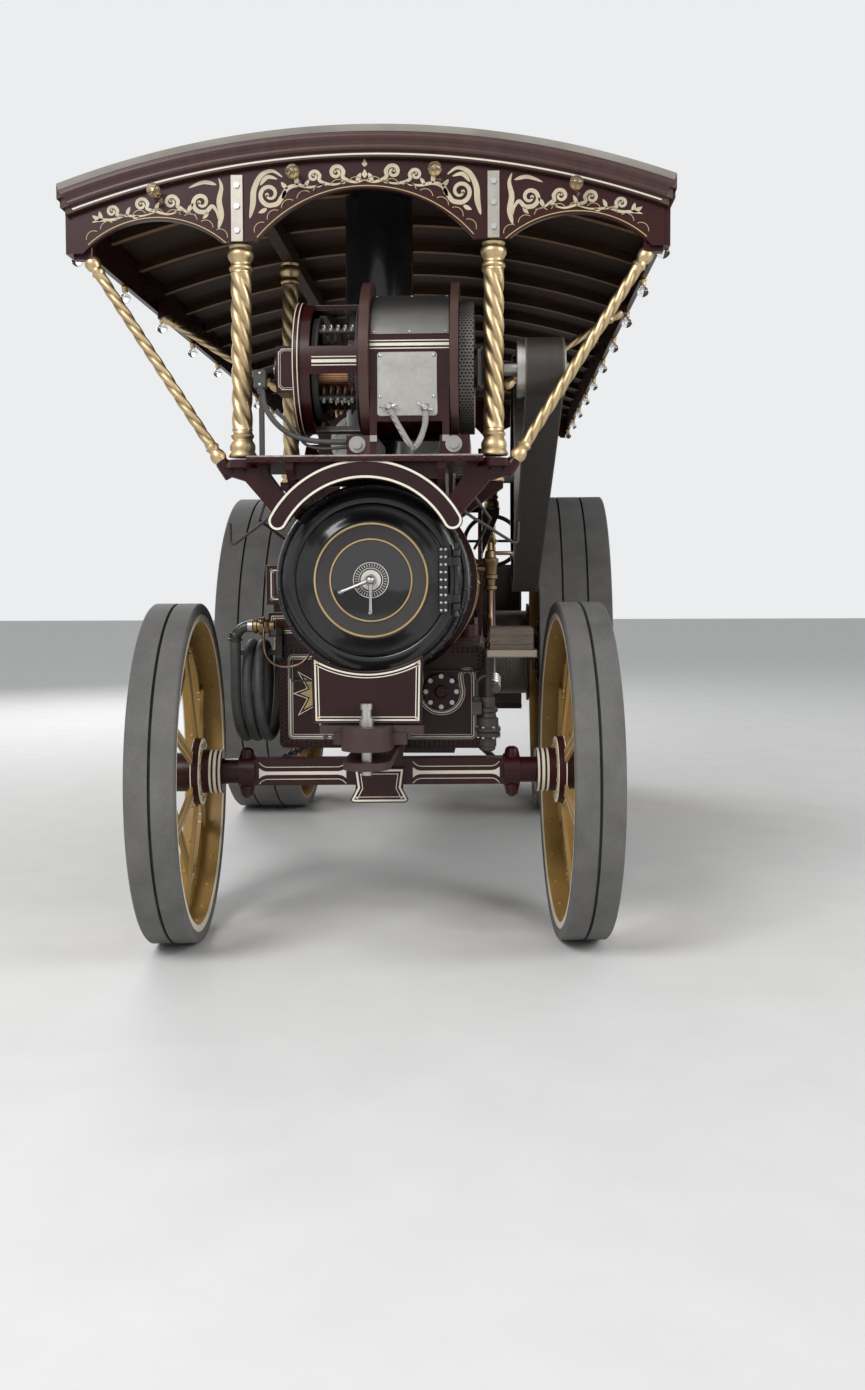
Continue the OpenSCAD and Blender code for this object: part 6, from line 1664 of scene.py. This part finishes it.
# Firebox and ashpan between the hornplates: riveted plate, darkened by heat towards its foot.
hot_plate = Finish("firebox_plate", lake_dark, 0.4, slot="maroon_paint")
scorch = hot_plate.noise(5, 6)
foot = 1 - hot_plate.z.rise(0.7, 1.25)
hot_plate.paint(colour=hot_plate.blend((foot * 0.9 + scorch * 0.5 - 0.3).held(), lake_dark,
    (0.022, 0.018, 0.016)), rough=0.25 + foot * 0.35 + scorch * 0.15)
finish_node("firebox", hot_plate)
stay_heads = []
for x in (-0.301 + 0.086 * i for i in range(8)):
    stay_heads += [((x, at(2.7805), 0.87 + 0.09 * i), -AHEAD) for i in range(5)]
    stay_heads += [((x, at(1.7595), 0.87 + 0.09 * i), AHEAD) for i in range(3)]
stay_heads += [(Vector((0, at(2.7805), boiler_z)) + 0.372 * outward(9 * i), -AHEAD) for i in range(21)]
heads("firebox_stays", stay_heads, 0.011, hot_plate)

# Hornplates: the two side plates that carry the crankshaft and the rear axle, lined on their outer faces,
# with a row of rivets inside the lines and bolted bearing caps.
horn_face, crank_y, crank_z = 0.425, 2.4, 2.16
horn = mm((2700, 1180), (2820, 860), (3360, 760), (3949.7, 760), (3949.7, 1480), (3120, 1560), (2900, 2060),
    (2680, 2290), (2120, 2290), (1960, 2060), (1763, 1750), (1763, 1180))
horn_lines, horn_rivets = [], []
for side in (-1, 1):
    face, outline = flank(side, horn_face), sided(horn, side)
    horn_lines.append(face.frame(outline, (0.036, 0.007), (0.05, 0.0024)))
    dotted = inset(outline, 0.018)
    for (a, b), (c, d) in zip(dotted, dotted[1:] + dotted[:1]):
        steps = max(1, int(hypot(c - a, d - b) / 0.055))
        for i in range(steps):
            horn_rivets.append((face.at(a + (c - a) * i / steps, b + (d - b) * i / steps), face.normal))
add("hornplate_lining", horn_lines, cream_line, None)
heads("hornplate_rivets", horn_rivets, 0.0075, lake)
cap_bolts = []
for side in (-1, 1):
    for proud, y, z, radius in ((0.0005, at(crank_y), crank_z, 0.074),
            (0.0305, rear_y, rear_axle_z, 0.084)):
        cap_bolts += round_about((side * (horn_face + proud), y, z), side * ACROSS, radius, 4, 0.5)
heads("bearing_bolts", cap_bolts, 0.01, steel, "hex", 0.7)

# Cylinder block: two cylinders side by side under lagging sheet, with polished covers held by studs, and a
# valve chest on each side with its own studded cover.
bore_x = 0.14
block_paint = Finish("cylinder_paint", lake_dark, 0.3, 0.0, shine=0.35)
mist = block_paint.noise(4, 6)
cover_reach = (block_paint.x.size() - bore_x).reach(block_paint.z - crank_z).below(0.1285)
cover_mask = (cover_reach * (block_paint.y.below(at(0.6195)) + block_paint.y.above(at(1.1205)))).held()
block_paint.paint(colour=block_paint.blend(cover_mask, block_paint.blend(mist, lake_dark, lake_light),
    block_paint.blend(mist, (0.62, 0.61, 0.6), (0.36, 0.35, 0.34))), metal=cover_mask,
    rough=0.2 + mist * 0.25)
block_paint.bump(mist, 0.001, 0.3)
finish_node("cylinder_block", block_paint)
cover_nuts = []
for side in (-1, 1):
    for y, way in ((0.5855, AHEAD), (1.1465, -AHEAD)):
        cover_nuts += round_about((side * bore_x, at(y), crank_z), way, 0.112, 10, 0.5)
    for i in range(8):
        for z in (crank_z - 0.028, crank_z + 0.048):
            cover_nuts.append(((side * 0.3305, at(0.66 + 0.06 * i), z), side * ACROSS))
cover_nuts += round_about((0, at(0.87), 2.3605), UP, 0.128, 10)
heads("cylinder_nuts", cover_nuts, 0.0105, steel, "hex", 0.8)
block_lines = []
for side in (-1, 1):
    for x, low, high, radius, *lines in ((0.298, 1.88, 2.055, 0.02, (0.014, 0.0055), (0.024, 0.002)),
            (0.2, 2.278, 2.326, 0.01, (0.008, 0.004))):
        outline = sided(panel((0.63, low), (1.11, high), radius), side)
        block_lines.append(flank(side, x).frame(outline, *lines))
add("cylinder_lining", block_lines, cream_line, None)
finish_node("cylinder_fittings", brass)
fitting_rings = []
for x, y, z, radius in ((0, 0.87, 2.3605, 0.074), (0, 0.87, 2.428, 0.074), (-0.16, 0.98, 2.331, 0.034),
        (-0.16, 0.98, 2.446, 0.029), (-0.16, 0.76, 2.331, 0.018), (0.16, 1.06, 2.331, 0.026)):
    fitting_rings.append(turned([(0, radius - 0.01), (0, radius), (0.004, radius + 0.003), (0.008, radius),
        (0.008, radius - 0.01)], (x, at(y), z), UP, 32, True))
add("fitting_rings", fitting_rings, brass, 35)

# Motion: polished slide bars, crossheads and rods, wet with oil, with bolted ends and an oil cup on each
# bar.
oiled = Finish("oiled_steel", (0.45, 0.44, 0.43), 0.25, 1.0, slot="bright_steel")
oiled.mottle((9, 6), ((0.56, 0.55, 0.54), (0.2, 0.17, 0.13)), (0.16, 0.26), (1.5, 0.35))
finish_node("motion", oiled)
bar_bolts, oil_cups = [], []
for side in (-1, 1):
    for y in (1.17, 1.96):
        bar_bolts.append(((side * bore_x, at(y), crank_z + 0.0742), UP))
    oil_cups.append(turned(mm((0, 10), (6, 14), (22, 14), (26, 10), (30, 6)),
        (side * bore_x, at(1.5), crank_z + 0.074), UP, 20))
heads("slide_bar_bolts", bar_bolts, 0.012, steel, "hex", 0.7)
add("oil_cups", oil_cups, brass)

# Motion covers and gear cover: flat sheets on both sides of the motion and a deep closed case over the
# offside gears, lined round their edges and screwed down.
cover_lines, cover_screws = [], []
for side in (-1, 1):
    face = flank(side, 0.346)
    outline = sided(mm((1120.3, 2000), (2009.7, 2000), (2009.7, 2290), (1900, 2330), (1120.3, 2330)), side)
    cover_lines.append(face.frame(outline, (0.022, 0.007), (0.035, 0.0022)))
    for a, b in inset(outline, 0.01):
        cover_screws.append((face.at(a, b), face.normal))
case_face = flank(-1, 0.62)
case_outline = sided(bow((2.7, 1.86), 0.238, -135, 45, 24) + bow((crank_y, crank_z), 0.188, 45, 225, 20),
    -1)
cover_lines.append(case_face.frame(case_outline, (0.02, 0.007), (0.034, 0.0022)))
cover_screws += [(case_face.at(a, b), case_face.normal) for a, b in inset(case_outline, 0.009)[::4]]
add("cover_lining", cover_lines, cream_line, None)
heads("cover_screws", cover_screws, 0.006, brass)

# Crankshaft: forged and polished, with brass in its big ends and eccentrics; the flywheel is a solid disc
# lined in rings, with a bright turned edge.
throws = Finish("crank_steel", (0.5, 0.5, 0.5), 0.25, 1.0)
smear = throws.noise(8, 6)
strap_mask = ((throws.x.size() - bore_x).size().below(0.0245) + throws.x.within(-0.031, 0.031)).held()
strap_mask = strap_mask * (throws.y - at(crank_y)).reach(throws.z - crank_z).above(0.05)
throws.paint(colour=throws.blend(strap_mask, throws.blend(smear, (0.58, 0.57, 0.56), (0.24, 0.21, 0.18)),
    throws.blend(smear, brass_bright, brass_dull)), rough=0.18 + smear * 0.25)
finish_node("crankshaft", throws)
disc = Finish("flywheel_paint", lake_dark, 0.25, 0.0, shine=0.35)
bloom = disc.noise(3, 6)
reach = (disc.y - at(crank_y)).reach(disc.z - crank_z)
rings = (reach.within(0.598, 0.607) + reach.within(0.586, 0.5885) + reach.within(0.168, 0.177)
    + reach.within(0.186, 0.1885)).held()
bright = ((reach.above(0.6885) + disc.x.above(0.7545) * reach.above(0.64) + disc.x.below(0.6055)
    * reach.above(0.64)) + reach.below(0.112) * disc.x.above(0.73)).held()
tone = disc.blend(rings, disc.blend(bloom, lake_dark, lake_light), cream)
disc.paint(colour=disc.blend(bright, tone, (0.52, 0.51, 0.5)), metal=bright, rough=0.18 + bloom * 0.22)
finish_node("flywheel", disc)

# Rear axle, winch and final drive: a turned axle with end caps, a drum of wire rope between painted
# flanges, and a greased iron spur wheel.
finish_node("rear_axle", steel)
winch = Finish("winch_drum", lake_dark, 0.4)
wear = winch.noise(12, 6)
winch_reach = (winch.y - rear_y).reach(winch.z - rear_axle_z)
winch_angle = (winch.y - rear_y).math("ARCTAN2", winch.z - rear_axle_z)
rope = winch.x.within(0.4892, 0.7218) * winch_reach.within(0.262, 0.29)
lay = ((winch_angle * 60 + winch.x * 480).math("SINE") * 0.5 + 0.5)
flange_line = (winch_reach.within(0.304, 0.312) + winch_reach.within(0.294, 0.2965)).held()
winch_colour = winch.blend(flange_line, winch.blend(wear, lake_dark, lake_light), cream)
winch.paint(colour=winch.blend(rope, winch_colour, winch.blend(lay, (0.1, 0.085, 0.06), (0.3, 0.28, 0.25))),
    metal=rope * 0.7, rough=0.3 + wear * 0.3)
winch.bump(lay * rope, 0.003, 0.8)
finish_node("winch_drum", winch)
grease = Finish("gear_grease", (0.06, 0.055, 0.05), 0.35)
thick = grease.noise(7, 6)
toothed = (grease.y - rear_y).reach(grease.z - rear_axle_z).above(0.4235)
grease.paint(colour=grease.blend(toothed, grease.blend(thick, lake_dark, lake_light),
    grease.blend(thick, (0.2, 0.19, 0.18), (0.035, 0.03, 0.024))), metal=toothed * 0.8,
    rough=0.22 + thick * 0.35)
finish_node("drive_gears", grease)

# Tender: riveted sheets with a flared rim edged in brass, lined on both sides and the back; inside it the
# bunker is scraped bare by the coal.
tender_sheet = Finish("tender_sheet", lake_dark, 0.3)
cloud = tender_sheet.noise(2.4, 6)
inside = (tender_sheet.x.size().below(0.6965) * tender_sheet.y.within(rear_y + 0.4595, rear_y + 1.6465)
    * tender_sheet.z.within(0.66, 1.6595)).held()
scrape = tender_sheet.noise(7, 7)
tender_sheet.paint(colour=tender_sheet.blend(inside, tender_sheet.blend(cloud, lake_dark, lake_light),
    tender_sheet.blend(scrape, (0.035, 0.032, 0.03), (0.13, 0.1, 0.08))), rough=0.2 + cloud * 0.2 + inside
    * (0.2 + scrape * 0.25), shine=0.3)
tender_sheet.bump((14, 4), 0.001, 0.3)
finish_node("tender", tender_sheet)
tender_half, tender_back, tender_low, tender_top = 0.7, 1.65, 0.62, 1.63
tender_lines, tender_rivets = [], []
for side in (-1, 1):
    face = flank(side, tender_half, rear_y)
    for low, high in (((0.6, 0.655), (1.09, 1.455)), ((1.11, 0.655), (1.625, 1.6))):
        outline = sided(panel(low, high, 0.05, True), side)
        tender_lines.append(face.frame(outline, (0.0, 0.009), (0.02, 0.0028)))
    for i in range(30):
        y = 0.48 + 0.04 * i
        tender_rivets.append((face.at(side * y, tender_low + 0.018), face.normal))
        if y > 0.6:
            tender_rivets.append((face.at(side * y, tender_top - 0.014), face.normal))
    for i in range(24):
        tender_rivets.append((face.at(side * (tender_back - 0.012), tender_low + 0.03 + 0.041 * i),
            face.normal))
back_face = Face((0, rear_y + tender_back, 0), (-1, 0, 0))
tender_lines.append(back_face.frame(panel((-0.655, 0.945), (0.655, 1.575), 0.05, True), (0.0, 0.009),
    (0.02, 0.0028)))
for low, high in ((-0.655, -0.19), (0.19, 0.655)):
    outline = panel((low, 0.655), (high, 0.915), 0.04, True)
    tender_lines.append(back_face.frame(outline, (0.0, 0.007)))
for i in range(33):
    x = -0.672 + 0.042 * i
    tender_rivets.append((back_face.at(x, tender_low + 0.018), -AHEAD))
for i in range(23):
    for x in (-0.686, 0.686):
        tender_rivets.append((back_face.at(x, tender_low + 0.03 + 0.042 * i), -AHEAD))
add("tender_lining", tender_lines, cream_line, None)
heads("tender_rivets", tender_rivets, 0.0065, lake)
rim_x, rim_y = tender_half + 0.02, tender_back + 0.02
bead = [Vector((-rim_x, rear_y + 0.72, 1.645)), Vector((-rim_x, rear_y + rim_y - 0.03, 1.645))]
bead += [Vector((-rim_x + 0.03 - 0.03 * cos(a), rear_y + rim_y - 0.03 + 0.03 * sin(a), 1.645))
    for a in np.linspace(0.2, pi / 2, 6)]
bead += [Vector((-p.x, p.y, p.z)) for p in bead[::-1]]
add("tender_bead", pipe(bead, 0.0075, 12), brass, 50)
chequer = Finish("chequer_plate", (0.1, 0.1, 0.1), 0.5, 0.6)
scuff = chequer.noise(9, 6)
studs = (((chequer.x + chequer.y) * 105).math("SINE") * ((chequer.x - chequer.y) * 105).math("SINE")).above(
    0.45)
chequer.paint(colour=chequer.blend((scuff * 1.3 - 0.2 + studs * 0.35).held(), (0.055, 0.05, 0.047),
    (0.24, 0.225, 0.21)), rough=0.35 + scuff * 0.3)
chequer.bump(studs, 0.0015, 0.7)
finish_node("footplate", chequer)

# Backhead fittings: brass gauge, water gauges and regulator on the boiler's back, and an iron firehole
# door.
hearth = Finish("backhead_brass", brass_bright, 0.3, 1.0)
tarnish = hearth.noise(12, 6)
door_mask = hearth.z.within(1.2, 1.48) * hearth.x.size().below(0.14)
hearth.paint(colour=hearth.blend(door_mask, hearth.blend(tarnish, brass_bright, brass_dull),
    hearth.blend(tarnish, (0.05, 0.045, 0.042), (0.11, 0.085, 0.07))), metal=1 - door_mask * 0.6,
    rough=0.22 + tarnish * 0.25 + door_mask * 0.25)
finish_node("backhead_fittings", hearth)
gauge_face = Face((0, at(2.8062), 2.06), (-1, 0, 0))
add("gauge_dial", gauge_face.fill(bow((0, 0), 0.062, 0, 360, 40)[:-1], 0.0008), cream_line, None)
ticks = []
for i in range(21):
    angle = radians(225 - 13.5 * i)
    near = 0.046 if i % 5 == 0 else 0.051
    ticks.append(gauge_face.line([(near * cos(angle), near * sin(angle)),
        (0.057 * cos(angle), 0.057 * sin(angle))], 0.0016, False, 0.0014))
ticks.append(gauge_face.line([(0.01, -0.01), (-0.034, 0.034)], [0.004, 0.001], False, 0.002))
add("gauge_marks", ticks, iron, None)
door_handle = [pipe([(x, at(2.826), 1.34 + z) for x, z in ((0.07, 0.0), (0.09, 0.0), (0.098, 0.0))], 0.01,
    12), pipe([Vector((0.092, at(2.824), 1.34)), Vector((0.092, at(2.86), 1.34)),
    Vector((0.092, at(2.87), 1.3))], 0.0075, 12)]
add("firehole_handle", door_handle, iron)

# Drawbar and steering: forged iron; the inclined shaft ends in a worm, and its wheel at the footplate has a
# brass boss and a black rim.
finish_node("drawbar", iron)
steer_low, steer_high = Vector((0.486, at(1.56), 0.932)), Vector((0.486, at(3.3), 1.8))
column = Finish("steering_steel", (0.4, 0.4, 0.4), 0.3, 0.9)
film = column.noise(10, 6)
hand_mask = (column.y.above(at(3.05)) * column.z.above(1.6)).held()
boss_mask = hand_mask * ((((column.x - 0.486) ** 2 + (column.y - steer_high.y) ** 2
    + (column.z - steer_high.z) ** 2) ** 0.5) .below(0.045))
column_colour = column.blend(hand_mask, column.blend(film, (0.42, 0.41, 0.4), (0.14, 0.12, 0.1)),
    (0.02, 0.02, 0.02))
column.paint(colour=column.blend(boss_mask, column_colour, brass_bright),
    metal=(1 - hand_mask + boss_mask).held() * 0.9, rough=0.24 + film * 0.25)
finish_node("steering_gear", column)
shaft_way = (steer_high - steer_low).normalized()
add("steering_worm", helix(steer_low + shaft_way * 0.028, shaft_way, 0.036, 0.104, 4.5, 0.008), oiled, 50)


def chain(name, start, end, pitch, wire):
    """A chain of oval links between two points, every other one turned a quarter."""
    rule = Pattern(name, **{"Link Pitch": pitch, "Wire Radius": wire})
    line = rule.add("GeometryNodeMeshToCurve", {}, {"Mesh": rule.given["Geometry"]})
    spaced = rule.add("GeometryNodeResampleCurve", {"mode": "LENGTH"},
        {"Curve": line, "Length": rule.given["Link Pitch"]})
    way = rule.add("FunctionNodeAlignRotationToVector", {"axis": "X"},
        {"Vector": rule.add("GeometryNodeInputTangent")})
    quarter = rule.add("GeometryNodeInputIndex") * (pi / 2)
    roll = rule.add("FunctionNodeAxisAngleToRotation", {}, {"Axis": ACROSS, "Angle": quarter})
    way = rule.add("FunctionNodeRotateRotation", {"rotation_space": "LOCAL"},
        {"Rotation": way, "Rotate By": roll})
    oval = rule.add("GeometryNodeCurvePrimitiveCircle", {}, {"Resolution": 14, "Radius": 1.0})
    oval = rule.add("GeometryNodeTransform", {}, {"Geometry": oval, "Scale": (pitch * 0.66, wire * 2.3, 1)})
    section = rule.add("GeometryNodeCurvePrimitiveCircle", {},
        {"Resolution": 8, "Radius": rule.given["Wire Radius"]})
    link = rule.add("GeometryNodeCurveToMesh", {}, {"Curve": oval, "Profile Curve": section})
    spread = rule.add("GeometryNodeInstanceOnPoints", {},
        {"Points": spaced, "Instance": link, "Rotation": way})
    mesh = bpy.data.meshes.new(name)
    mesh.from_pydata([tuple(start), tuple(end)], [(0, 1)], [])
    return rule.piece(name, mesh, spread, iron)


# Steering chains: from a lug at each end of the front axle back to the barrel under the boiler, each link
# turned a quarter from the last.
for side, word in SIDES:
    tip = steered @ Vector((side * journal_x, 0.112, axle_z - 0.025))
    barrel_end = Vector((side * 0.3, at(1.61), 0.727))
    links = chain("steering_chain_" + word, tip, barrel_end, 0.04, 0.0058)
    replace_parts(links, "steering_chains")
    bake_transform(links)
